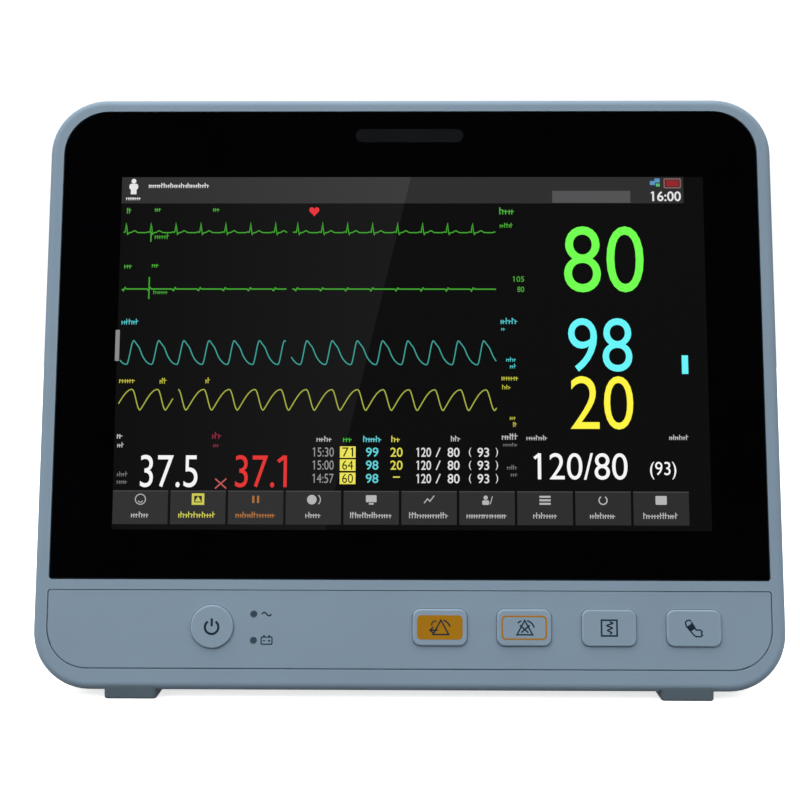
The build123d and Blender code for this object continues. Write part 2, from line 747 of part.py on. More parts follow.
# ---------------------------------------------------------------- left side: sockets
SOCKET_Y = 20.0
SOCKET_SPOTS = {
    "ecg_socket": (SOCKET_Y, 173.0),
    "oxygen_socket": (SOCKET_Y, 145.0),
    "pressure_socket": (SOCKET_Y, FITTING_Z),
}
TEMP_SPOTS = [(11.5, 118.0), (28.5, 118.0)]
PLATE_X = -INNER_X


def make_socket(name, spots, flange_r, body_r, bore_r, bore_l, core_r=0, end_x=-118.0, barb=False):
    """Round sockets in the left panel, each with a flange, a body and a bore, and some with a core or a barb."""
    face_x = PLATE_X - 3.0
    with BuildPart() as socket:
        with BuildSketch(beside(PLATE_X)):
            with Locations(*spots):
                Circle(flange_r)
        extrude(amount=-3.0)
        fillet(socket.faces().sort_by(Axis.X)[: len(spots)].edges(), 0.8)
        with BuildSketch(beside(PLATE_X)):
            with Locations(*spots):
                Circle(body_r)
        extrude(amount=end_x - PLATE_X)
        with BuildSketch(beside(face_x)):
            with Locations(*spots):
                Circle(bore_r)
                if core_r:
                    Circle(core_r, mode=Mode.SUBTRACT)
        extrude(amount=bore_l, mode=Mode.SUBTRACT)
        if core_r:
            with BuildSketch(beside(face_x)):
                with Locations(*spots):
                    Circle(core_r)
            extrude(amount=2.0, mode=Mode.SUBTRACT)
        if barb:
            with BuildSketch(beside(end_x)):
                with Locations(*spots):
                    Circle(3.4)
            extrude(amount=HOSE_X - end_x)
            with BuildSketch(beside(HOSE_X)):
                with Locations(*spots):
                    Circle(1.6)
            extrude(amount=6.0)
    write(socket, name)


with BuildPart() as socket_panel:
    with BuildSketch(beside(PLATE_X)):
        with Locations((SOCKET_Y, sum(SOCKET_WINDOW[1]) / 2)):
            RectangleRounded(41, SOCKET_WINDOW[1][1] - SOCKET_WINDOW[1][0] + 6, 5)
        with Locations(SOCKET_SPOTS["ecg_socket"]):
            Circle(8.6, mode=Mode.SUBTRACT)
        with Locations(SOCKET_SPOTS["oxygen_socket"]):
            Circle(7.6, mode=Mode.SUBTRACT)
        with Locations(SOCKET_SPOTS["pressure_socket"]):
            Circle(6.6, mode=Mode.SUBTRACT)
        with Locations(*TEMP_SPOTS):
            Circle(5.1, mode=Mode.SUBTRACT)
    extrude(amount=2.0)
write(socket_panel, "socket_panel")

make_socket("ecg_socket", [SOCKET_SPOTS["ecg_socket"]], 12.0, 8.5, 7.4, 11.0, core_r=4.4)
make_socket("oxygen_socket", [SOCKET_SPOTS["oxygen_socket"]], 10.5, 7.5, 6.4, 10.0, core_r=3.6)
make_socket("temperature_sockets", TEMP_SPOTS, 7.0, 5.0, 3.25, 14.0)
make_socket("pressure_socket", [SOCKET_SPOTS["pressure_socket"]], 10.0, 6.5, 4.2, 12.0, barb=True)

# ---------------------------------------------------------------- left side: battery
TRAY_T = 1.5
BATTERY_END = -10.0
with BuildPart() as battery_tray:
    box_between(
        (-INNER_X, BATTERY_Y[0] - TRAY_T, BATTERY_Z[0] - TRAY_T),
        (BATTERY_END + TRAY_T, BATTERY_Y[1] + TRAY_T, BATTERY_Z[1] + TRAY_T),
    )
    cut_between(
        (-INNER_X - 1, BATTERY_Y[0], BATTERY_Z[0]), (BATTERY_END, BATTERY_Y[1], BATTERY_Z[1])
    )
write(battery_tray, "battery_tray")

with BuildPart() as battery_contacts:
    for offset in (-12, -4, 4, 12):
        y = sum(BATTERY_Y) / 2 + offset
        box_between((BATTERY_END - 1.6, y - 1, 36), (BATTERY_END, y + 1, 41))
write(battery_contacts, "battery_contacts")

BATTERY_GAP = 0.3
with BuildPart() as battery_pack:
    box_between(
        (-INNER_X, BATTERY_Y[0] + BATTERY_GAP, BATTERY_Z[0] + BATTERY_GAP),
        (BATTERY_END - 1.8, BATTERY_Y[1] - BATTERY_GAP, BATTERY_Z[1] - BATTERY_GAP),
    )
    fillet(battery_pack.edges().filter_by(Axis.X), 3.0)
write(battery_pack, "battery_pack")

with BuildPart() as battery_cover:
    box_between(
        (-SIDE_X, BATTERY_Y[0] + BATTERY_GAP, BATTERY_Z[0] + BATTERY_GAP),
        (-INNER_X, BATTERY_Y[1] - BATTERY_GAP, BATTERY_Z[1] - BATTERY_GAP),
    )
    fillet(battery_cover.faces().sort_by(Axis.X)[0].edges(), 0.6)
    with BuildSketch(beside(-SIDE_X)):
        with Locations((sum(BATTERY_Y) / 2, sum(BATTERY_Z) / 2)):
            RectangleRounded(34, 9, 3)
    extrude(amount=1.4, mode=Mode.SUBTRACT)
    with BuildSketch(beside(-SIDE_X + 1.4)):
        with Locations((sum(BATTERY_Y) / 2, sum(BATTERY_Z) / 2)):
            with GridLocations(6, 1, 5, 1):
                Rectangle(1.2, 6)
    extrude(amount=-1.2)
write(battery_cover, "battery_cover")

# ---------------------------------------------------------------- right side: strip recorder
BAY_T = 2.0
BAY_BACK = 84.0
HINGE_R = 4.6
HINGE_X = SIDE_X - HINGE_R
HINGE_Z = BAY_Z[0] + 0.3 + HINGE_R
PIN_R = 1.25
ROLL_R = 18.0
ROLL_X = 106.0
ROLL_Z = 56.0
ROLL_W = 50.0
PAPER_MID = sum(BAY_Y) / 2
PLATEN_X = 126.5
PLATEN_Z = 91.5
PLATEN_R = 5.0
SHAFT_R = 1.5
DOOR_TOP = 98.8
GEAR_MODULE = 0.6
PLATEN_TEETH = 20
PINION_TEETH = 10
GEAR_SPAN = GEAR_MODULE * (PLATEN_TEETH + PINION_TEETH) / 2
PINION_X = PLATEN_X - GEAR_SPAN
GEAR_Y = BAY_Y[1] + BAY_T + 0.4
GEAR_T = 3.0
LATCH_Z = 74.0

with BuildPart() as recorder_housing:
    box_between(
        (BAY_BACK, BAY_Y[0] - BAY_T, BAY_Z[0] - BAY_T), (INNER_X, BAY_Y[1] + BAY_T, BAY_Z[1] + BAY_T)
    )
    cut_between((BAY_BACK + BAY_T, BAY_Y[0], BAY_Z[0]), (INNER_X + 1, BAY_Y[1], BAY_Z[1]))
    with BuildSketch(Plane(origin=(0, BAY_Y[0] - BAY_T, 0), x_dir=(1, 0, 0), z_dir=(0, -1, 0))):
        with Locations((HINGE_X, HINGE_Z)):
            Circle(PIN_R + 0.05)
        with Locations((PLATEN_X, PLATEN_Z)):
            Circle(SHAFT_R + 0.06)
    extrude(amount=-(BAY_Y[1] - BAY_Y[0] + 2 * BAY_T), mode=Mode.SUBTRACT)
    for y in (BAY_Y[0], BAY_Y[1] - 2.5):
        box_between((BAY_BACK + BAY_T, y, BAY_Z[0]), (118, y + 2.5, 78))
    box_between((BAY_BACK + BAY_T, BAY_Y[0] + 2.5, BAY_Z[0]), (120, BAY_Y[1] - 2.5, 34))
    with BuildSketch(upright(BAY_Y[1] - 2.5)):
        with Locations((ROLL_X, ROLL_Z)):
            Circle(ROLL_R + 0.6)
    extrude(amount=BAY_Y[1] - BAY_Y[0] - 5, mode=Mode.SUBTRACT)
write(recorder_housing, "recorder_housing")

with BuildPart() as recorder_hinge_pin:
    with BuildSketch(upright(BAY_Y[1] + 1.5)):
        with Locations((HINGE_X, HINGE_Z)):
            Circle(PIN_R)
    extrude(amount=BAY_Y[1] - BAY_Y[0] + 3)
write(recorder_hinge_pin, "recorder_hinge_pin")

DOOR_Y = (BAY_Y[0] + 0.3, BAY_Y[1] - 0.3)
with BuildPart() as recorder_door:
    box_between((INNER_X, DOOR_Y[0], HINGE_Z), (SIDE_X, DOOR_Y[1], DOOR_TOP))
    with BuildSketch(upright(DOOR_Y[1])):
        with Locations((HINGE_X, HINGE_Z)):
            Circle(HINGE_R)
    extrude(amount=DOOR_Y[1] - DOOR_Y[0])
    with BuildSketch(upright(DOOR_Y[1] + 1)):
        with Locations((HINGE_X, HINGE_Z)):
            Circle(PIN_R + 0.05)
    extrude(amount=DOOR_Y[1] - DOOR_Y[0] + 2, mode=Mode.SUBTRACT)
    fillet(recorder_door.edges().filter_by(Axis.Y).group_by(Axis.Z)[-1].sort_by(Axis.X)[-1], 1.0)
    with BuildSketch(beside(INNER_X - 1)):
        with Locations((PAPER_MID, LATCH_Z)):
            RectangleRounded(20.6, 10.6, 3.3)
    extrude(amount=CASE_WALL + 2, mode=Mode.SUBTRACT)
    for y in (-8.0, 28.0):
        box_between((INNER_X - 2.0, y - 0.6, 40), (INNER_X, y + 0.6, 84))
write(recorder_door, "recorder_door")

with BuildPart() as recorder_latch:
    with BuildSketch(beside(INNER_X)):
        with Locations((PAPER_MID, LATCH_Z)):
            RectangleRounded(20, 10, 3)
    extrude(amount=CASE_WALL + 0.6)
    fillet(recorder_latch.faces().sort_by(Axis.X)[-1].edges(), 0.5)
    with BuildSketch(beside(INNER_X)):
        with Locations((PAPER_MID, LATCH_Z)):
            RectangleRounded(23, 13, 3)
    extrude(amount=-1.2)
write(recorder_latch, "recorder_latch")

with BuildPart() as paper_roll:
    with BuildSketch(upright(PAPER_MID + ROLL_W / 2)):
        with Locations((ROLL_X, ROLL_Z)):
            Circle(ROLL_R)
            Circle(6.0, mode=Mode.SUBTRACT)
    extrude(amount=ROLL_W)
write(paper_roll, "paper_roll")


def make_gear(centre, teeth, start):
    """Draws a small spur gear: a root disc and straight-sided teeth with running play."""
    pitch_r = GEAR_MODULE * teeth / 2
    root_r = pitch_r - 1.25 * GEAR_MODULE
    tip_r = pitch_r + 0.85 * GEAR_MODULE
    half_root = 0.72 * pi * GEAR_MODULE / 4
    half_tip = 0.5 * pi * GEAR_MODULE / 4
    with Locations(centre):
        Circle(root_r)
    for i in range(teeth):
        with Locations(Location(Vector(*centre, 0), (0, 0, start + 360 * i / teeth))):
            Polygon(
                (root_r - 0.2, -half_root - 0.1),
                (tip_r, -half_tip + 0.1),
                (tip_r, half_tip - 0.1),
                (root_r - 0.2, half_root + 0.1),
                align=None,
            )


with BuildPart() as platen_roller:
    with BuildSketch(upright(PAPER_MID + 25)):
        with Locations((PLATEN_X, PLATEN_Z)):
            Circle(PLATEN_R)
    extrude(amount=50)
    with BuildSketch(upright(GEAR_Y + GEAR_T)):
        with Locations((PLATEN_X, PLATEN_Z)):
            Circle(SHAFT_R)
    extrude(amount=GEAR_Y + GEAR_T - BAY_Y[0] + 1.5)
write(platen_roller, "platen_roller")

with BuildPart() as platen_gear:
    with BuildSketch(upright(GEAR_Y + GEAR_T)):
        make_gear((PLATEN_X, PLATEN_Z), PLATEN_TEETH, 0)
        with Locations((PLATEN_X, PLATEN_Z)):
            Circle(SHAFT_R, mode=Mode.SUBTRACT)
    extrude(amount=GEAR_T)
write(platen_gear, "platen_gear")

with BuildPart() as drive_pinion:
    with BuildSketch(upright(GEAR_Y + GEAR_T)):
        make_gear((PINION_X, PLATEN_Z), PINION_TEETH, 180 / PINION_TEETH)
        with Locations((PINION_X, PLATEN_Z)):
            Circle(1.0, mode=Mode.SUBTRACT)
    extrude(amount=GEAR_T)
    with BuildSketch(upright(GEAR_Y + GEAR_T + 2.5)):
        with Locations((PINION_X, PLATEN_Z)):
            Circle(1.0)
    extrude(amount=GEAR_T + 2.5)
write(drive_pinion, "drive_pinion")

MOTOR_Y = GEAR_Y + GEAR_T + 1.0
with BuildPart() as recorder_motor:
    with BuildSketch(upright(MOTOR_Y + 12)):
        with Locations((PINION_X - 6, PLATEN_Z)):
            RectangleRounded(20, 15, 2)
    extrude(amount=12)
    with BuildSketch(upright(MOTOR_Y + 2.4)):
        with Locations((PINION_X, PLATEN_Z)):
            Circle(1.06)
    extrude(amount=2.4, mode=Mode.SUBTRACT)
    box_between((PINION_X - 14, BAY_Y[1] + BAY_T, PLATEN_Z - 6), (PINION_X - 8, MOTOR_Y, PLATEN_Z + 6))
write(recorder_motor, "recorder_motor")

with BuildPart() as print_head:
    box_between((112, BAY_Y[0] + 4, 86.0), (PLATEN_X - PLATEN_R - 0.3, BAY_Y[1] - 4, 97.0))
    box_between((110, BAY_Y[0], 97.0), (PLATEN_X - PLATEN_R - 0.3, BAY_Y[1], BAY_Z[1]))
write(print_head, "print_head")

# ---------------------------------------------------------------- rear connectors
IO_PLATE_Y = IO_FLOOR_Y - CASE_WALL
MAINS_X = 62.0
STUD_X = 30.0
NETWORK_X = -8.0
USB_X = (-36.0, -58.0)
VIDEO_X = -84.0

with BuildPart() as io_plate:
    with BuildSketch(upright(IO_PLATE_Y)):
        with Locations(((IO_X[0] + IO_X[1]) / 2, IO_Z)):
            Rectangle(IO_X[1] - IO_X[0] - 4, 29)
        with Locations((MAINS_X, IO_Z)):
            RectangleRounded(27.4, 20.4, 2, mode=Mode.SUBTRACT)
        with Locations((NETWORK_X, IO_Z)):
            Rectangle(16.4, 14.4, mode=Mode.SUBTRACT)
        with Locations(*[(x, IO_Z) for x in USB_X]):
            Rectangle(14.6, 7.4, mode=Mode.SUBTRACT)
        with Locations((VIDEO_X, IO_Z)):
            Rectangle(16.4, 7.4, mode=Mode.SUBTRACT)
        with Locations((STUD_X, IO_Z)):
            Circle(2.1, mode=Mode.SUBTRACT)
    extrude(amount=1.2)
write(io_plate, "io_plate")


def make_port(name, spots, outer, inner, depth, tongue, proud):
    """A rectangular port through the connector plate. tongue is its width, height and rise, or None."""
    with BuildPart() as port:
        with BuildSketch(upright(IO_PLATE_Y + proud)):
            with Locations(*spots):
                Rectangle(*outer)
        extrude(amount=depth + 1.2)
        with BuildSketch(upright(IO_PLATE_Y + proud)):
            with Locations(*spots):
                Rectangle(*inner)
        extrude(amount=depth, mode=Mode.SUBTRACT)
        if tongue:
            with BuildSketch(upright(IO_PLATE_Y + proud - 1.5)):
                with Locations(*[(x, z + tongue[2]) for x, z in spots]):
                    Rectangle(tongue[0], tongue[1])
            extrude(amount=depth - 1.5)
    write(port, name)


make_port("network_socket", [(NETWORK_X, IO_Z)], (16, 14), (12.0, 8.4), 12, None, 0.6)
make_port("usb_sockets", [(x, IO_Z) for x in USB_X], (14.2, 7.0), (12.6, 5.4), 12, (11.2, 1.8, 1.2), 0.6)
make_port("video_socket", [(VIDEO_X, IO_Z)], (16.0, 7.0), (14.4, 5.2), 11, (12.0, 1.4, 0.0), 0.6)

with BuildPart() as mains_inlet:
    with BuildSketch(upright(IO_PLATE_Y + 2.2)):
        with Locations((MAINS_X, IO_Z)):
            RectangleRounded(31, 24, 3)
    extrude(amount=2.2)
    with BuildSketch(upright(IO_PLATE_Y)):
        with Locations((MAINS_X, IO_Z)):
            RectangleRounded(27, 20, 2)
    extrude(amount=17)
    with BuildSketch(upright(IO_PLATE_Y + 2.2)):
        with Locations((MAINS_X, IO_Z)):
            RectangleRounded(24.2, 16.8, 2)
    extrude(amount=16, mode=Mode.SUBTRACT)
    with BuildSketch(upright(IO_PLATE_Y - 0.5)):
        with Locations((MAINS_X - 7, IO_Z + 2), (MAINS_X + 7, IO_Z + 2), (MAINS_X, IO_Z + 5)):
            Rectangle(2, 4)
    extrude(amount=14)
write(mains_inlet, "mains_inlet")

STUD_R = 3.0
STUD_L = 12.0
with BuildPart() as ground_stud:
    with BuildSketch(upright(IO_PLATE_Y)):
        with Locations((STUD_X, IO_Z)):
            RegularPolygon(5.0, 6)
    extrude(amount=-2.5)
    with BuildSketch(upright(IO_PLATE_Y + 2.5)):
        with Locations((STUD_X, IO_Z)):
            Circle(STUD_R)
    extrude(amount=-STUD_L)
    fillet(ground_stud.faces().sort_by(Axis.Y)[-1].edges(), 0.6)
    with BuildSketch(upright(IO_PLATE_Y)):
        with Locations((STUD_X, IO_Z)):
            Circle(2.0)
    extrude(amount=4)
write(ground_stud, "ground_stud")
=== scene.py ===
import json
import math
import random

import bmesh
import bpy
from mathutils import Matrix, Vector


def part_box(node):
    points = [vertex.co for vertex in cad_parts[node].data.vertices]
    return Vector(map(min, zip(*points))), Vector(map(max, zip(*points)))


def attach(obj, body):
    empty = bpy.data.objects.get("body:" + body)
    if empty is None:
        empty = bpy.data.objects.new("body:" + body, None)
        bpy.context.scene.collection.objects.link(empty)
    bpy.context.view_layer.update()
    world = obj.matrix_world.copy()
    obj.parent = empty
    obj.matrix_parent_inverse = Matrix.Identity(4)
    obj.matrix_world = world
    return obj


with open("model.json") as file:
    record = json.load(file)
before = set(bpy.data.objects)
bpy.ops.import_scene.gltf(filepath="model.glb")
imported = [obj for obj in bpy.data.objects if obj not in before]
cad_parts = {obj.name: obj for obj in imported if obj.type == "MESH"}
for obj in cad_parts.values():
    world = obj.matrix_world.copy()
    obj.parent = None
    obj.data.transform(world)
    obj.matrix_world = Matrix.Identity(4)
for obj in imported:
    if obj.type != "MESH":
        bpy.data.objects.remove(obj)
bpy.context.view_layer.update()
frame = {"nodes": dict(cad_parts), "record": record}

random.seed(7)
MM = 0.001

# ---------------------------------------------------------------- the leaning face
# Face coordinates are millimetres: u across, v up the face from its lower edge, depth behind its front.
LEAN = math.radians(10.0)
ACROSS = Vector((1, 0, 0))
UP_FACE = Vector((0, math.sin(LEAN), math.cos(LEAN)))
OUTWARD = Vector((0, -math.cos(LEAN), math.sin(LEAN)))
PANEL_LOW, PANEL_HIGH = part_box("display_panel")
LCD_POINT = (PANEL_LOW + PANEL_HIGH) / 2  # the display panel's middle, a known point of the face
LCD_U, LCD_V, LCD_DEPTH = -2.85, 126.8, 4.75

GLASS_FACE = 0.4  # depths of the surfaces that carry marks
KEY_FACE = -0.8
CHIN_FACE = 0.2
LAYER = 0.03  # step between the layers drawn on a surface


def on_face(u, v, depth):
    """The point in metres that is at u, v and this deep behind the face."""
    return LCD_POINT + MM * ((u - LCD_U) * ACROSS + (v - LCD_V) * UP_FACE + (LCD_DEPTH - depth) * OUTWARD)


# ---------------------------------------------------------------- materials
def new_material(name):
    """A node material and its shader."""
    material = bpy.data.materials.new(name)
    material.use_nodes = True
    return material, material.node_tree.nodes["Principled BSDF"]


def noise(tree, scale, detail=3.0):
    """A noise texture that is fixed to the object, at this many cells per metre."""
    place = tree.nodes.new("ShaderNodeTexCoord")
    texture = tree.nodes.new("ShaderNodeTexNoise")
    texture.inputs["Scale"].default_value = scale
    texture.inputs["Detail"].default_value = detail
    tree.links.new(place.outputs["Object"], texture.inputs["Vector"])
    return texture.outputs["Fac"]


def spread(tree, value, low, high):
    """Maps 0.3 to 0.7 of a value to low to high."""
    node = tree.nodes.new("ShaderNodeMapRange")
    node.inputs["From Min"].default_value = 0.3
    node.inputs["From Max"].default_value = 0.7
    node.inputs["To Min"].default_value = low
    node.inputs["To Max"].default_value = high
    tree.links.new(value, node.inputs["Value"])
    return node.outputs["Result"]


def mixed(tree, share, first, second):
    """A colour between two colours. Each is a colour or a socket."""
    node = tree.nodes.new("ShaderNodeMix")
    node.data_type = "RGBA"
    tree.links.new(share, node.inputs["Factor"])
    for socket, value in ((node.inputs[6], first), (node.inputs[7], second)):
        if isinstance(value, tuple):
            socket.default_value = (*value, 1.0)
        else:
            tree.links.new(value, socket)
    return node.outputs[2]


def shade(colour, share):
    """The colour, made this much brighter or darker."""
    return tuple(min(1.0, c * share) for c in colour)


def edge_mask(tree, radius):
    """1 along outside edges, 0 on flats."""
    bevel = tree.nodes.new("ShaderNodeBevel")
    bevel.samples = 4
    bevel.inputs["Radius"].default_value = radius
    plain = tree.nodes.new("ShaderNodeNewGeometry")
    dot = tree.nodes.new("ShaderNodeVectorMath")
    dot.operation = "DOT_PRODUCT"
    tree.links.new(bevel.outputs["Normal"], dot.inputs[0])
    tree.links.new(plain.outputs["Normal"], dot.inputs[1])
    node = tree.nodes.new("ShaderNodeMapRange")
    node.inputs["From Min"].default_value = 0.995
    node.inputs["From Max"].default_value = 0.90
    node.inputs["To Min"].default_value = 0.0
    node.inputs["To Max"].default_value = 1.0
    tree.links.new(dot.outputs["Value"], node.inputs["Value"])
    return node.outputs["Result"]


def finish(
    name, colour, rough, metal=0.0, grain=2500.0, bump=0.04, vary=0.05, edge_wear_and_highlight=0.0,
    gloss=0.5, coat=0.0, brushed=False,
):
    """A moulded, painted, turned or brushed surface.

    It has fine grain, patches of tone, uneven roughness and lighter outside edges, which are edge wear on
    most finishes and a painted highlight on the bevels of the key caps.
    """
    material, shader = new_material(name)
    tree = material.node_tree
    patches = spread(tree, noise(tree, 22.0, 4.0), 0.0, 1.0)
    tone = mixed(tree, patches, shade(colour, 1 - vary), shade(colour, 1 + vary))
    # Lighter outside edges: edge wear, and on the key caps a painted highlight on their bevels.
    if edge_wear_and_highlight:
        rim = edge_mask(tree, 0.0008)
        tone = mixed(tree, rim, tone, shade(colour, 1 + edge_wear_and_highlight))
    tree.links.new(tone, shader.inputs["Base Color"])
    texture = noise(tree, grain, 2.0)
    tree.links.new(spread(tree, texture, rough * 0.88, min(1.0, rough * 1.12)), shader.inputs["Roughness"])
    relief = tree.nodes.new("ShaderNodeBump")
    relief.inputs["Strength"].default_value = bump
    relief.inputs["Distance"].default_value = 0.0002
    height = texture
    if brushed:
        place = tree.nodes.new("ShaderNodeTexCoord")
        squeeze = tree.nodes.new("ShaderNodeMapping")
        squeeze.inputs["Scale"].default_value = (0.03, 1.0, 1.0)
        lines = tree.nodes.new("ShaderNodeTexNoise")
        lines.inputs["Scale"].default_value = grain
        tree.links.new(place.outputs["Object"], squeeze.inputs["Vector"])
        tree.links.new(squeeze.outputs["Vector"], lines.inputs["Vector"])
        height = lines.outputs["Fac"]
    tree.links.new(height, relief.inputs["Height"])
    tree.links.new(relief.outputs["Normal"], shader.inputs["Normal"])
    shader.inputs["Metallic"].default_value = metal
    shader.inputs["Specular IOR Level"].default_value = gloss
    shader.inputs["Coat Weight"].default_value = coat
    shader.inputs["Coat Roughness"].default_value = 0.05
    return material


def glass_finish(name, colour, rough):
    """Black printed glass: deep black, very smooth, with faint smudges in its gloss."""
    material, shader = new_material(name)
    tree = material.node_tree
    smudge = spread(tree, noise(tree, 35.0, 5.0), 0.0, 1.0)
    tree.links.new(mixed(tree, smudge, colour, shade(colour, 1.6)), shader.inputs["Base Color"])
    tree.links.new(spread(tree, noise(tree, 60.0, 6.0), rough, rough * 2.2), shader.inputs["Roughness"])
    shader.inputs["IOR"].default_value = 1.5
    return material


def lit(name, colour, strength=1.0):
    """Screen light behind smooth glass, with a display's fine unevenness."""
    material, shader = new_material(name)
    tree = material.node_tree
    grid = spread(tree, noise(tree, 3000.0, 1.0), 0.93, 1.0)
    glow = mixed(tree, grid, shade(colour, 0.9), colour)
    tree.links.new(glow, shader.inputs["Emission Color"])
    shader.inputs["Emission Strength"].default_value = strength
    shader.inputs["Base Color"].default_value = (0.004, 0.004, 0.004, 1.0)
    shader.inputs["Roughness"].default_value = 0.08
    return material


FINISHES = {
    "case_blue": finish(
        "case_plastic", (0.205, 0.281, 0.358), 0.55,
        grain=2600.0, bump=0.10, vary=0.03, edge_wear_and_highlight=0.12, gloss=0.2,
    ),
    # The key caps' strongly lighter rims are a painted highlight on their bevels.
    "key_cap": finish(
        "key_plastic", (0.210, 0.288, 0.366), 0.48,
        grain=3200.0, bump=0.05, vary=0.02, edge_wear_and_highlight=0.55, gloss=0.3,
    ),
    "foot_grey": finish(
        "foot_rubber", (0.090, 0.122, 0.148), 0.72,
        grain=1800.0, bump=0.16, vary=0.08, edge_wear_and_highlight=0.2, gloss=0.2,
    ),
    "black_glass": glass_finish("black_glass", (0.0007, 0.0007, 0.0010), 0.03),
    "lamp_smoke": glass_finish("lamp_lens", (0.0052, 0.0056, 0.0062), 0.10),
    "gasket_rubber": finish("seal_rubber", (0.015, 0.016, 0.018), 0.75, grain=1500.0, bump=0.1),
    "lens_dark": finish("led_lens", (0.028, 0.054, 0.080), 0.22, grain=900.0, bump=0.01, coat=0.6),
    "circuit_board": finish("solder_mask", (0.02, 0.12, 0.06), 0.4, grain=900.0, bump=0.05, vary=0.12),
    "black_plastic": finish(
        "black_moulding", (0.020, 0.020, 0.022), 0.5, grain=2200.0, bump=0.12, vary=0.1, edge_wear_and_highlight=0.6
    ),
    "sheet_metal": finish(
        "passivated_sheet", (0.60, 0.61, 0.63), 0.38, metal=1.0, grain=1200.0, brushed=True
    ),
    "steel": finish(
        "plated_steel", (0.56, 0.57, 0.59), 0.28, metal=1.0, grain=1500.0, edge_wear_and_highlight=0.2, brushed=True
    ),
    "brass": finish("turned_brass", (0.70, 0.50, 0.22), 0.3, metal=1.0, grain=1500.0, brushed=True),
    "aluminium": finish(
        "extruded_aluminium", (0.66, 0.67, 0.69), 0.35, metal=1.0, grain=1400.0, brushed=True
    ),
    "socket_grey": finish("socket_grey", (0.085, 0.10, 0.118), 0.5, grain=2400.0, bump=0.1, edge_wear_and_highlight=0.3),
    "socket_green": finish("socket_green", (0.03, 0.28, 0.12), 0.42, grain=2400.0, edge_wear_and_highlight=0.25),
    "socket_blue": finish("socket_blue", (0.03, 0.16, 0.42), 0.42, grain=2400.0, edge_wear_and_highlight=0.25),
    "socket_metal": finish("nickel_plate", (0.62, 0.63, 0.64), 0.22, metal=1.0, grain=1200.0, edge_wear_and_highlight=0.2),
    "thermal_paper": finish("thermal_paper", (0.80, 0.80, 0.78), 0.7, grain=1200.0, bump=0.05, vary=0.02),
    "roller_rubber": finish("roller_rubber", (0.03, 0.03, 0.03), 0.8, grain=1600.0, bump=0.15),
    "gear_white": finish("gear_acetal", (0.72, 0.71, 0.66), 0.4, grain=1600.0, edge_wear_and_highlight=0.1),
}
for part in frame["record"]["subparts"]:
    node = frame["nodes"][part["node"]]
    node.data.materials.clear()
    node.data.materials.append(FINISHES[part["material_slot"]])

ICON = finish("icon_ink", (0.007, 0.018, 0.032), 0.5, grain=2000.0, bump=0.03, gloss=0.1)
AMBER = finish("amber_ink", (0.345, 0.158, 0.004), 0.45, grain=2000.0, bump=0.03, gloss=0.1)
WHITE_INK = finish("white_ink", (0.62, 0.64, 0.66), 0.5, grain=2000.0, bump=0.03)


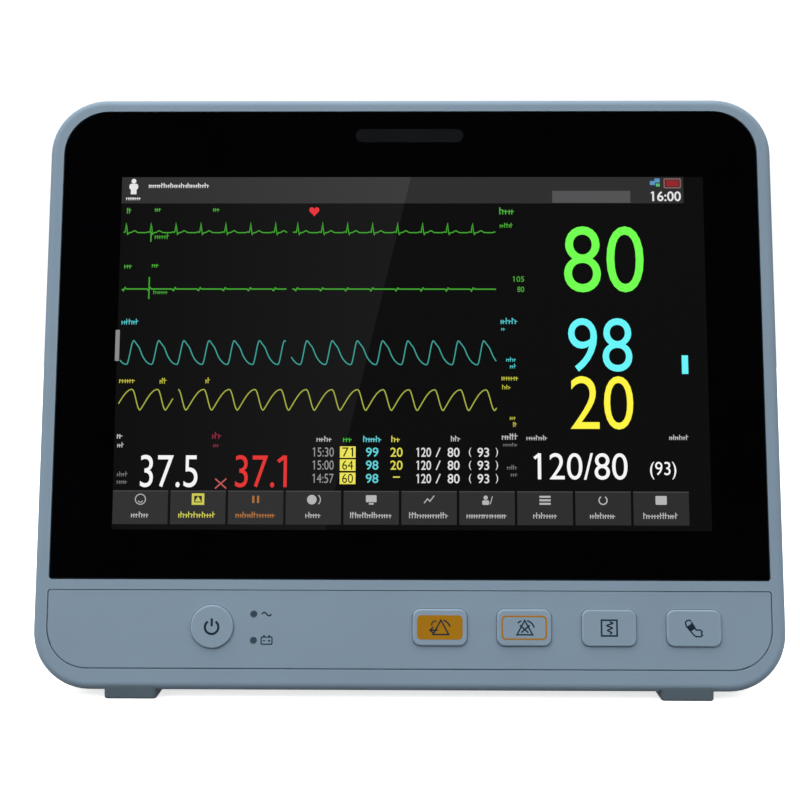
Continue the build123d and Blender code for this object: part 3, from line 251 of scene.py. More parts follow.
# ---------------------------------------------------------------- thin marks on a surface
class Marks:
    """Thin flat shapes that share a material and a surface. build() makes them one closed piece."""

    def __init__(self, name, material, depth, body="case", slot=None, place=on_face, thick=0.02):
        self.name, self.material, self.depth, self.body = name, material, depth, body
        self.slot, self.place, self.thick = slot, place, thick
        self.mesh = bmesh.new()

    def polygon(self, points):
        self.mesh.faces.new([self.mesh.verts.new((u, v, 0)) for u, v in points])

    def rectangle(self, left, low, right, high):
        self.polygon([(left, low), (right, low), (right, high), (left, high)])

    def stroke(self, points, width, closed=False):
        """A line of this width through the points, with mitred corners."""
        count = len(points)
        points = [Vector(p) for p in points]
        rails = []
        for i, point in enumerate(points):
            steps = []
            if closed or i > 0:
                steps.append((point - points[i - 1]).normalized())
            if closed or i < count - 1:
                steps.append((points[(i + 1) % count] - point).normalized())
            along = sum(steps, Vector((0, 0)))
            along = along.normalized() if along.length > 1e-4 else steps[0]
            across = Vector((-along.y, along.x))
            first = Vector((-steps[0].y, steps[0].x))
            reach = width / 2 / max(0.5, across.dot(first))
            rails.append([self.mesh.verts.new((*(point + side * reach * across), 0)) for side in (1, -1)])
        for i in range(count if closed else count - 1):
            a, b = rails[i], rails[(i + 1) % count]
            self.mesh.faces.new((a[0], a[1], b[1], b[0]))

    def arc(self, centre, radius, start, end, width, steps=24):
        """A stroked arc from one angle to another, in degrees."""
        u, v = centre
        angles = [math.radians(start + (end - start) * i / steps) for i in range(steps + 1)]
        self.stroke([(u + radius * math.cos(a), v + radius * math.sin(a)) for a in angles], width)

    def disc(self, centre, radius, steps=24):
        angles = [2 * math.pi * i / steps for i in range(steps)]
        self.polygon([(centre[0] + radius * math.cos(a), centre[1] + radius * math.sin(a)) for a in angles])

    def flag(self, u, high, tall):
        """The short slanting stroke at the top of a figure one."""
        self.stroke([(u, high - 0.04 * tall), (u - 0.2 * tall, high - 0.2 * tall)], 0.11 * tall)

    def words(self, text, left, low, right, high, weight=0.0):
        """Digits fitted to a box, with heavier strokes for more weight. A one at either end gets its flag."""
        tall = high - low
        if text[0] == "1":
            left += 0.16 * tall
            self.flag(left + 0.07 * tall, high, tall)
        if text[-1] == "1":
            self.flag(right - 0.07 * tall, high, tall)
        curve = bpy.data.curves.new("words", "FONT")
        curve.body = text
        curve.offset = weight
        curve.resolution_u = 5
        curve.fill_mode = "FRONT"
        holder = bpy.data.objects.new("words", curve)
        mesh = bpy.data.meshes.new_from_object(holder)
        xs = [p.co.x for p in mesh.vertices]
        ys = [p.co.y for p in mesh.vertices]
        grow_x = (right - left) / (max(xs) - min(xs))
        grow_y = (high - low) / (max(ys) - min(ys))
        corners = [
            self.mesh.verts.new((left + (p.co.x - min(xs)) * grow_x, low + (p.co.y - min(ys)) * grow_y, 0))
            for p in mesh.vertices
        ]
        for face in mesh.polygons:
            self.mesh.faces.new([corners[i] for i in face.vertices])
        bpy.data.objects.remove(holder)
        bpy.data.curves.remove(curve)
        bpy.data.meshes.remove(mesh)

    def filler(self, left, middle, width, height):
        """A run of small upright marks that stands for a word and says nothing."""
        at = left
        while at < left + width - 0.25 * height:
            tall = height * random.choice((0.66, 0.66, 0.66, 1.0))
            step = height * random.uniform(0.34, 0.5)
            low = middle - height / 2
            self.stroke([(at, low), (at, low + tall)], height * 0.15)
            branch = (at, low + tall * random.uniform(0.45, 0.9))
            self.stroke([branch, (at + step * 0.75, low + tall * 0.6)], height * 0.13)
            at += step

    def build(self):
        """Thickens the shapes, moves them to their surface and hands them over as one piece."""
        mesh = self.mesh
        mesh.normal_update()
        for face in mesh.faces:
            if face.normal.z < 0:
                face.normal_flip()
        thick = bmesh.ops.extrude_face_region(mesh, geom=mesh.faces[:], use_keep_orig=True)
        raised = [g for g in thick["geom"] if isinstance(g, bmesh.types.BMVert)]
        bmesh.ops.translate(mesh, verts=raised, vec=(0, 0, self.thick))
        bmesh.ops.recalc_face_normals(mesh, faces=mesh.faces[:])
        for corner in mesh.verts:
            corner.co = self.place(corner.co.x, corner.co.y, self.depth - corner.co.z)
        data = bpy.data.meshes.new(self.name)
        mesh.to_mesh(data)
        mesh.free()
        data.materials.append(self.material)
        piece = bpy.data.objects.new(self.name, data)
        bpy.context.scene.collection.objects.link(piece)
        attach(piece, self.body)
        return piece


def rounded(left, low, right, high, radius, steps=6):
    """Corner points of a rounded rectangle."""
    centres = (
        (right - radius, high - radius, 0),
        (left + radius, high - radius, 90),
        (left + radius, low + radius, 180),
        (right - radius, low + radius, 270),
    )
    points = []
    for u, v, start in centres:
        for i in range(steps + 1):
            a = math.radians(start + 90 * i / steps)
            points.append((u + radius * math.cos(a), v + radius * math.sin(a)))
    return points


# ---------------------------------------------------------------- the screen
GREEN = (0.165, 1.0, 0.080)
CYAN = (0.140, 0.92, 0.96)
YELLOW = (1.0, 0.91, 0.055)
WHITE = (0.92, 0.92, 0.92)
RED = (0.76, 0.036, 0.034)

LCD_LEFT, LCD_RIGHT, LCD_LOW, LCD_HIGH = -111.2, 113.0, 58.8, 194.6
ACTIVE_RIGHT = 105.4
HEADER_LOW = 184.2
KEYS_LOW, KEYS_HIGH = 60.8, 73.4
# Ends of the slanting edge of the painted glare on the screen, whose lighter half is a lamp's reflection
# painted on.
WEDGE_TOP, WEDGE_LOW = 0.6, -31.2

BASE_DEPTH = GLASS_FACE - 0.01
BAND_DEPTH = BASE_DEPTH - LAYER
MARK_DEPTH = BAND_DEPTH - LAYER
TOP_DEPTH = MARK_DEPTH - LAYER


def sheen_material(name, dim, bright, left, right):
    """Screen grey that shades from the dim tone at the left to the bright tone at the right: painted glare, a
    lamp's reflection painted onto the screen.
    """
    material, shader = new_material(name)
    tree = material.node_tree
    place = tree.nodes.new("ShaderNodeTexCoord")
    split = tree.nodes.new("ShaderNodeSeparateXYZ")
    ramp = tree.nodes.new("ShaderNodeMapRange")
    ramp.inputs["From Min"].default_value = left * MM
    ramp.inputs["From Max"].default_value = right * MM
    tree.links.new(place.outputs["Object"], split.inputs["Vector"])
    tree.links.new(split.outputs["X"], ramp.inputs["Value"])
    glow = mixed(tree, ramp.outputs["Result"], dim, bright)
    tree.links.new(glow, shader.inputs["Emission Color"])
    shader.inputs["Emission Strength"].default_value = 1.0
    shader.inputs["Base Color"].default_value = (0.002, 0.002, 0.002, 1.0)
    shader.inputs["Roughness"].default_value = 0.08
    return material


def wedge_u(v):
    """Where the slanting edge between the lighter half, which is painted glare, and the darker half crosses
    this height.
    """
    return WEDGE_LOW + (WEDGE_TOP - WEDGE_LOW) * (v - LCD_LOW) / (LCD_HIGH - LCD_LOW)


def grey(level):
    """A slightly cool grey."""
    return (level, level, level * 1.04)


def build_backdrop():
    dark = Marks("screen_dark_half", lit("screen_dark", grey(0.0012)), BASE_DEPTH, slot="black_glass")
    dark.polygon([(WEDGE_LOW, LCD_LOW), (LCD_RIGHT, LCD_LOW), (LCD_RIGHT, LCD_HIGH), (WEDGE_TOP, LCD_HIGH)])
    dark.build()
    # The lighter half, left of the slanting edge, is painted glare: a lamp's reflection painted onto the
    # screen.
    glow = sheen_material("screen_painted_glare", grey(0.0034), grey(0.0094), LCD_LEFT, WEDGE_TOP)
    light = Marks("screen_glare_half", glow, BASE_DEPTH, slot="black_glass")
    light.polygon([(LCD_LEFT, LCD_LOW), (WEDGE_LOW, LCD_LOW), (WEDGE_TOP, LCD_HIGH), (LCD_LEFT, LCD_HIGH)])
    light.build()
    header_edge = (wedge_u(HEADER_LOW), HEADER_LOW)
    top_edge = (WEDGE_TOP, LCD_HIGH)
    # The header's lighter part, left of the slanting edge, is the same painted glare.
    header_painted_glare = sheen_material("header_painted_glare", grey(0.029), grey(0.045), LCD_LEFT, WEDGE_TOP)
    left = Marks("header_glare_half", header_painted_glare, BAND_DEPTH)
    left.polygon([(LCD_LEFT, HEADER_LOW), header_edge, top_edge, (LCD_LEFT, LCD_HIGH)])
    left.build()
    right = Marks("header_dark", lit("header_grey", grey(0.026)), BAND_DEPTH)
    right.polygon([header_edge, (ACTIVE_RIGHT, HEADER_LOW), (ACTIVE_RIGHT, LCD_HIGH), top_edge])
    right.build()
    box = Marks("header_box", lit("header_box_grey", grey(0.085)), MARK_DEPTH)
    box.rectangle(55.0, HEADER_LOW + 0.2, 85.0, 189.1)
    box.build()


def build_header():
    marks = Marks("header_marks", lit("header_white", WHITE, 0.85), TOP_DEPTH)
    marks.disc((-106.6, 193.0), 0.95)
    marks.polygon(rounded(-108.3, 189.6, -104.9, 192.0, 0.9))
    marks.rectangle(-107.7, 187.8, -105.5, 190.2)
    marks.filler(-109.3, 186.3, 5.8, 1.7)
    marks.filler(-100.6, 191.3, 23.6, 2.0)
    marks.words("16:00", 92.8, 185.0, 104.4, 188.9, 0.015)
    marks.build()
    battery = Marks("header_battery", lit("battery_red", (0.30, 0.018, 0.022)), TOP_DEPTH)
    battery.polygon(rounded(98.8, 190.9, 103.6, 193.2, 0.3))
    battery.build()
    outline = Marks("header_battery_outline", lit("battery_outline", (0.30, 0.13, 0.13)), MARK_DEPTH)
    outline.stroke(rounded(98.1, 190.3, 104.3, 193.8, 0.4), 0.4, closed=True)
    outline.build()
    network = Marks("header_network", lit("network_blue", (0.10, 0.30, 0.52)), TOP_DEPTH)
    network.polygon(rounded(92.6, 191.4, 94.6, 193.0, 0.2))
    network.polygon(rounded(94.4, 192.4, 96.4, 194.0, 0.2))
    network.build()
    link = Marks("header_network_link", lit("network_green", (0.10, 0.50, 0.16)), TOP_DEPTH)
    link.polygon(rounded(94.9, 190.8, 96.4, 192.0, 0.2))
    link.build()


def heart(u, v, size):
    """Outline points of a heart."""
    points = []
    for i in range(28):
        a = 2 * math.pi * i / 28
        x = 16 * math.sin(a) ** 3
        y = 13 * math.cos(a) - 5 * math.cos(2 * a) - 2 * math.cos(3 * a) - math.cos(4 * a)
        points.append((u + size * x / 32, v + size * y / 30))
    return points


TRACE_LEFT, TRACE_RIGHT = -110.0, 33.1
BEAT = 9.6
SWEEP_GAP = (-46.9, -44.7)  # where the new sweep overwrites the old one
SWEEP_SHIFT = -1.1


def trace(marks, shape, base, width, first, period=BEAT, gap=SWEEP_GAP, shift=SWEEP_SHIFT, step=0.3):
    """A repeated wave from the left to the right of the trace area, broken at the sweep's gap."""
    for start, end, moved in ((TRACE_LEFT, gap[0], 0.0), (gap[1], TRACE_RIGHT, shift)):
        count = int((end - start) / step)
        points = []
        for i in range(count + 1):
            u = start + (end - start) * i / count
            phase = ((u - first - moved) / period) % 1.0
            points.append((u, base + shape(phase)))
        marks.stroke(points, width)


def bump(phase, centre, wide):
    """A smooth hump around a phase."""
    away = abs(phase - centre)
    away = min(away, 1 - away)
    return math.exp(-((away / wide) ** 2))


def heart_wave(phase):
    """The sharp beat with its small waves before and after."""
    spike = 4.1 * bump(phase, 0.0, 0.028) - 0.8 * bump(phase, 0.06, 0.03)
    return spike + 0.75 * bump(phase, 0.33, 0.09) + 0.3 * bump(phase, 0.88, 0.05)


def second_wave(phase):
    """The second lead, nearly flat."""
    return 0.5 * bump(phase, 0.02, 0.03) - 0.7 * bump(phase, 0.95, 0.03)


def pulse_wave(phase):
    """A steep rise and a fall with a small second hump."""
    rise = 0.26
    if phase > 1 - rise:
        return 9.2 * (0.5 - 0.5 * math.cos(math.pi * (phase - 1 + rise) / rise))
    fall = phase / (1 - rise)
    return 9.2 * (0.5 + 0.5 * math.cos(math.pi * fall**0.72)) + 1.1 * bump(phase, 0.24, 0.09) * (1 - fall)


def breath_wave(phase):
    """A short fall and a slow rise."""
    fall = 0.33
    if phase < fall:
        return 7.9 * (0.5 + 0.5 * math.cos(math.pi * phase / fall))
    return 7.9 * math.sin(math.pi / 2 * (phase - fall) / (1 - fall)) ** 1.15


def build_traces():
    line = 0.42
    green = Marks("heart_trace", lit("trace_green", (0.055, 0.36, 0.030)), MARK_DEPTH)
    trace(green, heart_wave, 172.6, line, -109.0)
    trace(green, second_wave, 150.5, line * 1.2, -109.0)
    green.stroke([(-99.6, 146.6), (-99.6, 155.2)], 0.5)
    green.stroke([(-99.4, 169.0), (-99.4, 173.0)], 0.5)
    green.filler(-97.8, 171.2, 5.6, 2.2)
    green.filler(-97.8, 149.4, 5.6, 1.8)
    green.build()
    cyan = Marks("pulse_trace", lit("trace_cyan", (0.050, 0.36, 0.31)), MARK_DEPTH)
    trace(cyan, pulse_wave, 121.3, line, -104.9)
    cyan.build()
    yellow = Marks("breath_trace", lit("trace_yellow", (0.40, 0.43, 0.060)), MARK_DEPTH)
    trace(yellow, breath_wave, 103.8, line, -105.0, period=9.72, gap=(-89.4, -87.4), shift=-1.9)
    yellow.build()


def build_numbers():
    thinned = -0.003  # stroke offset of the large figures
    green = Marks("heart_rate", lit("number_green", GREEN), MARK_DEPTH)
    green.words("80", 59.2, 149.3, 89.6, 175.1, thinned)
    green.build()
    cyan = Marks("oxygen_number", lit("number_cyan", CYAN), MARK_DEPTH)
    cyan.words("98", 60.4, 118.7, 84.6, 139.3, thinned)
    cyan.rectangle(103.2, 117.9, 105.6, 125.0)
    cyan.build()
    yellow = Marks("breath_number", lit("number_yellow", YELLOW), MARK_DEPTH)
    yellow.words("20", 61.0, 96.7, 84.6, 117.0, thinned)
    yellow.build()
    white = Marks("pressure_number", lit("number_white", WHITE), MARK_DEPTH)
    white.words("120/80", 46.8, 77.8, 82.0, 87.8, -0.001)
    white.words("(93)", 90.4, 78.0, 100.2, 84.6, 0.0)
    white.words("37.5", -101.0, 74.6, -79.4, 86.8, thinned)
    white.build()
    red = Marks("temperature_number", lit("number_red", RED), MARK_DEPTH)
    red.words("37.1", -65.2, 74.6, -45.8, 86.8, thinned)
    red.build()
    cross = Marks("probe_off_mark", lit("cross_red", (0.55, 0.10, 0.10)), MARK_DEPTH)
    cross.stroke([(-72.7, 74.2), (-68.5, 77.9)], 0.5)
    cross.stroke([(-72.7, 77.9), (-68.5, 74.2)], 0.5)
    cross.build()


def build_small_marks():
    """Greyed limits and the filler that stands for the screen's words."""
    green = Marks("green_small_marks", lit("small_green", (0.075, 0.42, 0.045)), MARK_DEPTH)
    for left, middle, width, height in (
        (-108.8, 181.3, 1.6, 2.2), (-98.0, 181.9, 2.6, 2.0), (-75.5, 181.9, 3.0, 2.0),
        (-109.2, 159.6, 3.0, 2.2), (-98.6, 159.9, 2.6, 2.0),
        (34.8, 181.2, 6.2, 2.8), (34.9, 175.5, 5.2, 1.9),
    ):
        green.filler(left, middle, width, height)
    green.words("105", 39.6, 153.4, 43.9, 155.5)
    green.words("80", 41.3, 149.4, 43.9, 151.5)
    green.build()
    cyan = Marks("cyan_small_marks", lit("small_cyan", (0.09, 0.56, 0.60)), MARK_DEPTH)
    for left, middle, width, height in (
        (-109.6, 137.8, 6.2, 2.2), (35.0, 138.2, 6.4, 2.4), (35.2, 135.2, 1.2, 1.6),
        (37.0, 123.4, 3.6, 1.8), (38.4, 120.8, 2.2, 1.8),
    ):
        cyan.filler(left, middle, width, height)
    cyan.build()
    yellow = Marks("yellow_small_marks", lit("small_yellow", (0.52, 0.50, 0.055)), MARK_DEPTH)
    for left, middle, width, height in (
        (-109.8, 115.2, 6.0, 2.2), (-94.4, 115.0, 2.6, 2.2), (-77.0, 115.2, 1.4, 2.2),
        (35.2, 116.4, 6.2, 2.2), (35.4, 112.8, 3.6, 1.8), (38.2, 101.2, 2.6, 1.8), (39.4, 98.6, 1.4, 1.8),
    ):
        yellow.filler(left, middle, width, height)
    yellow.build()
    white = Marks("white_small_marks", lit("small_white", (0.50, 0.50, 0.50)), MARK_DEPTH)
    for left, middle, width, height in (
        (-110.0, 94.2, 2.8, 2.6), (-109.8, 90.6, 2.2, 2.0), (35.2, 94.0, 6.0, 2.4), (44.4, 93.6, 8.0, 2.0),
        (98.0, 93.8, 7.0, 2.0), (16.0, 93.2, 3.6, 2.2), (-34.6, 93.0, 6.0, 2.2),
    ):
        white.filler(left, middle, width, height)
    white.build()
    dim = Marks("dim_small_marks", lit("small_grey", (0.17, 0.17, 0.17)), MARK_DEPTH)
    for left, middle, width, height in (
        (-109.6, 79.6, 4.4, 1.9), (-109.6, 76.8, 4.4, 1.9), (35.6, 91.0, 5.2, 1.5),
        (37.0, 82.4, 3.6, 1.8), (38.4, 79.8, 2.4, 1.8),
    ):
        dim.filler(left, middle, width, height)
    dim.build()
    red = Marks("red_small_marks", lit("small_red", (0.26, 0.022, 0.05)), MARK_DEPTH)
    red.filler(-74.0, 94.2, 3.0, 2.6)
    red.filler(-73.6, 90.6, 2.2, 1.8)
    red.build()
    beat = Marks("beat_mark", lit("heart_red", (0.82, 0.035, 0.045)), MARK_DEPTH)
    beat.polygon(heart(-36.6, 181.1, 3.9))
    beat.build()
    tab = Marks("selection_tab", lit("tab_grey", (0.26, 0.26, 0.26)), MARK_DEPTH)
    tab.polygon(rounded(-111.9, 122.6, -110.3, 134.6, 0.3))
    tab.build()


TABLE_ROWS = (  # time, rate, oxygen, breath, height of the row's middle
    ("15:30", "71", "99", "20", 88.0),
    ("15:00", "64", "98", "20", 83.1),
    ("14:57", "60", "98", "-", 78.1),
)


def build_table():
    high = 3.5
    times = Marks("table_times", lit("table_grey", (0.30, 0.30, 0.30)), MARK_DEPTH)
    boxes = Marks("table_boxes", lit("table_yellow", (0.84, 0.78, 0.10)), MARK_DEPTH)
    inked = Marks("table_ink", lit("table_ink", (0.012, 0.012, 0.004)), TOP_DEPTH)
    cyan = Marks("table_oxygen", lit("table_cyan", (0.12, 0.62, 0.66)), MARK_DEPTH)
    yellow = Marks("table_breath", lit("table_breath_yellow", (0.70, 0.66, 0.08)), MARK_DEPTH)
    white = Marks("table_pressure", lit("table_white", (0.72, 0.72, 0.72)), MARK_DEPTH)
    for clock, rate, oxygen, breath, middle in TABLE_ROWS:
        low, top = middle - high / 2, middle + high / 2
        times.words(clock, -36.2, low, -28.2, top)
        boxes.rectangle(-25.9, middle - 2.15, -20.0, middle + 2.15)
        inked.words(rate, -25.0, low, -20.9, top)
        cyan.words(oxygen, -16.1, low, -11.4, top, 0.01)
        if breath == "-":
            yellow.rectangle(-5.9, middle + 0.3, -3.3, middle + 0.8)
        else:
            yellow.words(breath, -6.9, low, -2.3, top, 0.01)
        white.words("120", 2.8, low, 8.4, top, 0.01)
        white.stroke([(10.3, low), (11.8, top)], 0.45)
        white.words("80", 14.6, low, 19.1, top, 0.01)
        white.words("(", 22.6, low, 23.5, top)
        white.words("93", 25.8, low, 30.2, top, 0.01)
        white.words(")", 32.6, low, 33.5, top)
    green = Marks("table_rate_heading", lit("table_green", (0.06, 0.45, 0.05)), MARK_DEPTH)
    green.filler(-24.6, 93.0, 3.6, 2.4)
    cyan.filler(-17.0, 93.0, 6.6, 2.4)
    yellow.filler(-6.4, 93.0, 3.6, 2.4)
    for marks in (times, boxes, inked, cyan, yellow, white, green):
        marks.build()


KEY_PITCH = 21.66
KEY_WIDE = 20.7
SOFT_ICON_V = 70.1
CAPTION_V = 64.4
CAPTION_TALL = 2.3


def soft_icon(marks, kind, u, v):
    """A small generic icon above a screen key's caption."""
    if kind == "ring":
        marks.arc((u, v), 1.9, 0, 360, 0.35)
        marks.arc((u, v - 0.2), 0.9, 200, 340, 0.3)
    elif kind == "bell":
        frame_points = [(u - 1.9, v - 1.6), (u + 1.9, v - 1.6), (u + 1.9, v + 1.8), (u - 1.9, v + 1.8)]
        marks.stroke(frame_points, 0.9, closed=True)
        marks.polygon([(u - 1.2, v - 0.8), (u + 1.2, v - 0.8), (u, v + 1.2)])
    elif kind == "pause":
        marks.rectangle(u - 1.3, v - 1.3, u - 0.5, v + 1.4)
        marks.rectangle(u + 0.5, v - 1.3, u + 1.3, v + 1.4)
    elif kind == "score":
        marks.disc((u - 0.6, v), 1.8)
        marks.arc((u + 0.4, v), 2.2, -50, 50, 0.35)
    elif kind == "screen":
        marks.polygon(rounded(u - 2.0, v - 0.9, u + 2.0, v + 1.7, 0.3))
        marks.rectangle(u - 0.9, v - 1.8, u + 0.9, v - 1.2)
    elif kind == "slope":
        marks.stroke([(u - 1.9, v - 1.2), (u - 0.6, v + 0.4), (u + 0.3, v - 0.5), (u + 1.9, v + 1.6)], 0.4)
    elif kind == "person":
        marks.disc((u - 0.5, v + 0.9), 0.8)
        marks.polygon(rounded(u - 1.8, v - 1.8, u + 0.8, v - 0.1, 0.5))
        marks.stroke([(u + 1.2, v - 1.6), (u + 2.0, v + 1.4)], 0.3)
    elif kind == "list":
        for row in (-1.3, 0.0, 1.3):
            marks.rectangle(u - 2.1, v + row - 0.4, u + 2.1, v + row + 0.35)
    elif kind == "standby":
        marks.arc((u, v), 1.5, 120, 420, 0.45)
    else:
        marks.polygon(rounded(u - 2.1, v - 1.6, u + 2.1, v + 1.7, 0.4))


SOFT_KEYS = (  # icon, tint, width of the caption
    ("ring", "grey", 6.4), ("bell", "yellow", 14.2), ("pause", "orange", 14.6), ("score", "grey", 5.6),
    ("screen", "grey", 15.4), ("slope", "grey", 14.6), ("person", "grey", 15.0), ("list", "grey", 8.6),
    ("standby", "grey", 9.6), ("menu", "grey", 13.2),
)


def build_soft_keys():
    # The soft keys are lighter towards the left: the painted glare carried across them.
    key_grey = sheen_material("soft_key_grey", grey(0.032), grey(0.026), LCD_LEFT, ACTIVE_RIGHT)
    face = Marks("soft_keys", key_grey, BAND_DEPTH)
    rim = Marks("soft_key_rims", lit("soft_key_rim", grey(0.066)), MARK_DEPTH)
    marks = {
        "grey": Marks("soft_key_icons", lit("soft_icon_grey", (0.46, 0.46, 0.47)), MARK_DEPTH),
        "yellow": Marks("soft_key_reset", lit("soft_icon_yellow", (0.62, 0.60, 0.09)), MARK_DEPTH),
        "orange": Marks("soft_key_pause", lit("soft_icon_orange", (0.42, 0.155, 0.045)), MARK_DEPTH),
    }
    for i, (kind, tint, width) in enumerate(SOFT_KEYS):
        left = LCD_LEFT + 0.2 + i * KEY_PITCH
        middle = left + KEY_WIDE / 2
        face.rectangle(left, KEYS_LOW, left + KEY_WIDE, KEYS_HIGH)
        rim.rectangle(left, KEYS_HIGH - 0.35, left + KEY_WIDE, KEYS_HIGH)
        soft_icon(marks[tint], kind, middle, SOFT_ICON_V)
        marks[tint].filler(middle - width / 2, CAPTION_V, width, CAPTION_TALL)
    for piece in (face, rim, *marks.values()):
        piece.build()


build_backdrop()
build_header()
build_traces()
build_numbers()
build_small_marks()
build_table()
build_soft_keys()


# ---------------------------------------------------------------- marks on the keys and the chin
KEY_V = 23.1
KEY_U = {"alarm_reset_key": 11.6, "alarm_pause_key": 42.7, "record_key": 74.0, "pressure_key": 105.2}
POWER_U = -72.7
INK = 0.52  # width of the strokes of the key icons
POWER_INK = 1.6 * INK
FIELD_W, FIELD_H, FIELD_R = 16.8, 8.9, 1.7
RIM_WIDTH = 0.6
ON_KEY = KEY_FACE - 0.005


def key_marks(name, body, material, depth=ON_KEY):
    """Marks on a hard key, which move with it."""
    return Marks(name, material, depth, body=body, slot="key_cap")


def triangle(marks, u, v, size):
    """The outline of a warning triangle."""
    low = v - size * 0.85
    marks.stroke([(u - size, low), (u + size, low), (u, v + size * 0.95)], INK, closed=True)


def field_outline(u, shrink):
    """Corner points of the amber field of a key that is centred at u, drawn in by shrink."""
    half_w, half_h = FIELD_W / 2 - shrink, FIELD_H / 2 - shrink
    return rounded(u - half_w, KEY_V - half_h, u + half_w, KEY_V + half_h, FIELD_R - shrink)


def build_alarm_reset():
    u = KEY_U["alarm_reset_key"]
    field = key_marks("alarm_reset_field", "alarm_reset_key", AMBER)
    field.polygon(field_outline(u, 0.0))
    field.build()
    ink = key_marks("alarm_reset_icon", "alarm_reset_key", ICON, ON_KEY - LAYER)
    triangle(ink, u + 0.4, KEY_V - 0.1, 2.9)
    ink.arc((u + 0.4, KEY_V - 0.9), 3.6, 20, 75, INK)
    ink.stroke([(u - 3.5, KEY_V - 1.0), (u - 0.7, KEY_V - 1.0)], INK)
    ink.stroke([(u - 2.4, KEY_V + 0.2), (u - 3.6, KEY_V - 1.0), (u - 2.4, KEY_V - 2.1)], INK)
    ink.arc((u - 1.8, KEY_V + 1.1), 1.2, 60, 200, INK * 0.8)
    ink.build()


def build_alarm_pause():
    u = KEY_U["alarm_pause_key"]
    rim = key_marks("alarm_pause_outline", "alarm_pause_key", AMBER)
    rim.stroke(field_outline(u, RIM_WIDTH / 2), RIM_WIDTH, closed=True)
    rim.build()
    ink = key_marks("alarm_pause_icon", "alarm_pause_key", ICON)
    triangle(ink, u + 0.2, KEY_V - 0.1, 2.9)
    ink.stroke([(u - 1.1, KEY_V - 1.8), (u + 2.0, KEY_V + 0.9)], INK)
    ink.stroke([(u + 1.5, KEY_V - 1.8), (u - 1.6, KEY_V + 0.9)], INK)
    ink.arc((u + 0.2, KEY_V - 0.9), 3.6, 15, 75, INK)
    ink.arc((u + 0.2, KEY_V - 0.9), 3.6, 110, 135, INK)
    ink.build()


def build_record():
    u = KEY_U["record_key"]
    ink = key_marks("record_icon", "record_key", ICON)
    half = 2.85
    low, high = KEY_V - half, KEY_V + half
    frame_points = [(u - half, low), (u + half, low), (u + half, high), (u - half, high)]
    ink.stroke(frame_points, INK * 1.15, closed=True)
    wave = []
    for i in range(31):
        t = i / 30  # down the wave, which narrows on its way
        sway = 1.2 * math.sin(5.0 * math.pi * t) * (1.0 - 0.45 * t)
        wave.append((u + 0.15 + sway, KEY_V + 2.2 - 4.4 * t))
    ink.stroke(wave, INK)
    ink.build()


# An arm with a cuff, from the key's middle: its lower line, its upper line and the cuff.
ARM_UNDER = ((-3.0, 0.9), (-0.2, -2.4), (0.6, -3.0), (2.4, -3.0), (3.0, -2.4), (2.4, -1.9))
ARM_OVER = ((-1.0, 2.3), (0.7, -0.6), (2.2, -0.6), (2.9, -1.3), (2.4, -1.9))
ARM_CUFF = ((-2.7, 0.6), (-1.3, -1.2), (0.3, -0.1), (-0.8, 1.9))


def build_pressure():
    u = KEY_U["pressure_key"]
    ink = key_marks("pressure_icon", "pressure_key", ICON)
    ink.arc((u - 2.0, KEY_V + 1.8), 1.15, 40, 230, INK)
    ink.stroke([(u + a, KEY_V + b) for a, b in ARM_UNDER], INK)
    ink.stroke([(u + a, KEY_V + b) for a, b in ARM_OVER], INK)
    ink.polygon([(u + a, KEY_V + b) for a, b in ARM_CUFF])
    ink.build()


def build_power():
    ink = key_marks("power_icon", "power_key", ICON)
    ink.arc((POWER_U, KEY_V - 0.2), 2.5, 125, 415, POWER_INK)
    ink.stroke([(POWER_U, KEY_V + 0.1), (POWER_U, KEY_V + 3.0)], POWER_INK)
    ink.build()


def build_chin_marks():
    ink = Marks("chin_icons", ICON, CHIN_FACE - 0.005, slot="key_cap")
    sine = [(-54.3 + 3.6 * t, 27.7 + 0.62 * math.sin(2 * math.pi * t)) for t in (i / 16 for i in range(17))]
    ink.stroke(sine, 0.5)
    ink.stroke(rounded(-54.4, 16.7, -50.4, 19.3, 0.3), 0.42, closed=True)
    for u in (-53.4, -51.4):
        ink.rectangle(u - 0.35, 19.5, u + 0.35, 20.0)
    ink.rectangle(-53.8, 17.8, -52.9, 18.15)
    ink.rectangle(-51.9, 17.8, -51.0, 18.15)
    ink.rectangle(-51.63, 17.53, -51.27, 18.42)
    ink.build()


build_alarm_reset()
build_alarm_pause()
build_record()
build_pressure()
build_power()
build_chin_marks()


# ---------------------------------------------------------------- marks and pins at the left side
SIDE_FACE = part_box("socket_panel")[0].x / MM
SOCKET_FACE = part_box("ecg_socket")[0].x / MM
PIN_SINK = 6.0  # depth of a pin's foot behind its socket's face
PIN_LENGTH = 3.4


def seen_from_left(across, up, depth):
    """A point on the left side in metres, as seen from there: across runs to the front, depth is X."""
    return Vector((depth, -across, up)) * MM


def build_side_marks():
    ink = Marks("socket_icons", WHITE_INK, SIDE_FACE - 0.005, slot="socket_grey", place=seen_from_left)
    ink.polygon(heart(-7.2, 184.5, 3.2))
    ink.arc((-7.2, 156.6), 1.5, 0, 360, 0.35)
    ink.stroke([(-5.6, 154.8), (-5.0, 154.2)], 0.35)
    for y in (-11.5, -28.5):
        ink.stroke([(y, 127.2), (y, 130.4)], 0.5)
        ink.disc((y, 126.9), 0.8)
    ink.stroke(rounded(-9.4, 102.6, -5.4, 105.0, 0.5), 0.35, closed=True)
    ink.build()
    pins = Marks(
        "socket_pins", FINISHES["brass"], SOCKET_FACE + PIN_SINK,
        slot="brass", place=seen_from_left, thick=PIN_LENGTH,
    )
    for middle, ring, count in ((173.0, 2.6, 6), (145.0, 2.2, 5)):  # height, radius and number of pins
        for i in range(count):
            a = 2 * math.pi * i / count + 0.4
            pins.disc((-20.0 + ring * math.cos(a), middle + ring * math.sin(a)), 0.45, steps=12)
    pins.build()


build_side_marks()


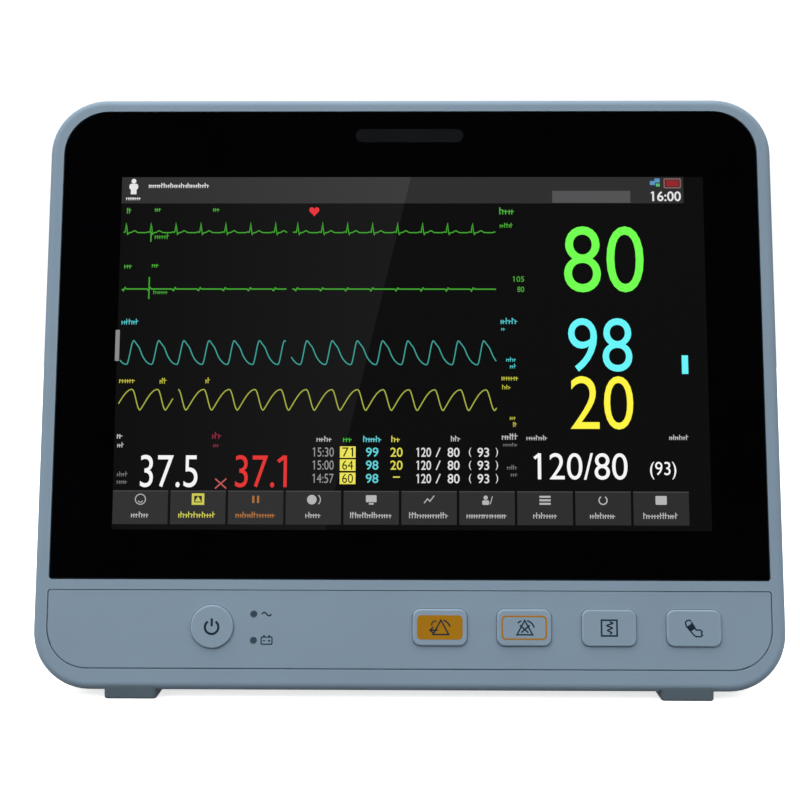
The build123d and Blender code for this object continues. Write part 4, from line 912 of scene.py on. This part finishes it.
# ---------------------------------------------------------------- floor, light and camera
FLOOR_HALF = 6.0  # half the side of the floor, in metres
FLOOR_GREY = 0.93
FLOOR_GLOW = 0.72
DOME_RADIUS = 5.8
SKY_HEIGHTS = (0.05, 0.55)  # height of the direction where the world's light starts and is full
SKY_STRENGTHS = (0.02, 1.65)
LAMPS = (  # name, place and height of the target in metres, size in metres, power in watts
    ("top_softbox", (-0.25, -0.15, 1.1), 0.10, (1.0, 0.8), 5.5),
    ("left_fill", (-1.0, -0.9, 0.7), 0.12, (0.8, 0.8), 4.5),
    ("right_fill", (1.1, -0.8, 0.5), 0.12, (0.6, 0.8), 1.5),
)
CAMERA_PLACE = (2.75, -546.37, 133.10)  # in mm
CAMERA_TURNS = (-2.68, -0.70, 0.06)  # pitch, yaw and roll in degrees
CAMERA_SENSOR = 36.0
CAMERA_LENS = 59.6


def studio_object(name, mesh, material):
    """An object from a bmesh that lights nothing else."""
    data = bpy.data.meshes.new(name)
    mesh.to_mesh(data)
    mesh.free()
    data.materials.append(material)
    item = bpy.data.objects.new(name, data)
    bpy.context.scene.collection.objects.link(item)
    item.visible_diffuse = False
    return item


def build_floor():
    """A pale floor that takes the part's shadow and glows, so that it fades into the white behind."""
    mesh = bmesh.new()
    bmesh.ops.create_grid(mesh, x_segments=2, y_segments=2, size=FLOOR_HALF)
    material, shader = new_material("pale_floor")
    shader.inputs["Base Color"].default_value = (FLOOR_GREY, FLOOR_GREY, FLOOR_GREY, 1.0)
    shader.inputs["Roughness"].default_value = 0.9
    shader.inputs["Emission Color"].default_value = (1.0, 1.0, 1.0, 1.0)
    shader.inputs["Emission Strength"].default_value = FLOOR_GLOW
    floor = studio_object("floor", mesh, material)


def build_backdrop_dome():
    """A white dome behind everything, which neither lights nor is mirrored."""
    mesh = bmesh.new()
    bmesh.ops.create_uvsphere(mesh, u_segments=48, v_segments=24, radius=DOME_RADIUS)
    dome = studio_object("backdrop", mesh, lit("backdrop_white", (1.0, 1.0, 1.0)))
    dome.visible_glossy = False
    dome.visible_transmission = False
    dome.visible_shadow = False


def build_world():
    """White light that grows from the horizon up, is dark below it, and isn't mirrored."""
    world = bpy.data.worlds.new("studio")
    bpy.context.scene.world = world
    world.use_nodes = True
    tree = world.node_tree
    place = tree.nodes.new("ShaderNodeTexCoord")
    split = tree.nodes.new("ShaderNodeSeparateXYZ")
    ramp = tree.nodes.new("ShaderNodeMapRange")
    ramp.inputs["From Min"].default_value, ramp.inputs["From Max"].default_value = SKY_HEIGHTS
    ramp.inputs["To Min"].default_value, ramp.inputs["To Max"].default_value = SKY_STRENGTHS
    tree.links.new(place.outputs["Generated"], split.inputs["Vector"])
    tree.links.new(split.outputs["Z"], ramp.inputs["Value"])
    tree.links.new(ramp.outputs["Result"], tree.nodes["Background"].inputs["Strength"])
    tree.nodes["Background"].inputs["Color"].default_value = (1.0, 1.0, 1.0, 1.0)
    world.cycles_visibility.glossy = False


def area_light(name, place, target_height, size, power):
    """A rectangular lamp that points at the middle of the part, target_height above the floor."""
    light = bpy.data.lights.new(name, "AREA")
    light.shape = "RECTANGLE"
    light.size, light.size_y = size
    light.energy = power
    lamp = bpy.data.objects.new(name, light)
    lamp.location = place
    aim = Vector((0, 0, target_height)) - Vector(place)
    lamp.rotation_euler = aim.to_track_quat("-Z", "Y").to_euler()
    bpy.context.scene.collection.objects.link(lamp)


def build_camera():
    """A camera 55 cm in front of the centre, a little above it, that looks slightly down."""
    place = Vector(CAMERA_PLACE) * MM
    pitch, yaw, roll = (math.radians(a) for a in CAMERA_TURNS)
    forward = Vector((math.sin(yaw) * math.cos(pitch), math.cos(yaw) * math.cos(pitch), math.sin(pitch)))
    right = Vector((math.cos(yaw), -math.sin(yaw), 0))
    up = right.cross(forward)
    side = right * math.cos(roll) + up * math.sin(roll)
    top = up * math.cos(roll) - right * math.sin(roll)
    data = bpy.data.cameras.new("camera")
    data.sensor_width = CAMERA_SENSOR
    data.lens = CAMERA_LENS
    camera = bpy.data.objects.new("camera", data)
    camera.matrix_world = Matrix.Translation(place) @ Matrix((side, top, -forward)).transposed().to_4x4()
    bpy.context.scene.collection.objects.link(camera)
    bpy.context.scene.camera = camera


# The standard transform keeps the screen colours as saturated as they are lit.
bpy.context.scene.view_settings.view_transform = "Standard"
build_floor()
build_backdrop_dome()
build_world()
for name, place, target_height, size, power in LAMPS:
    area_light(name, place, target_height, size, power)
build_camera()
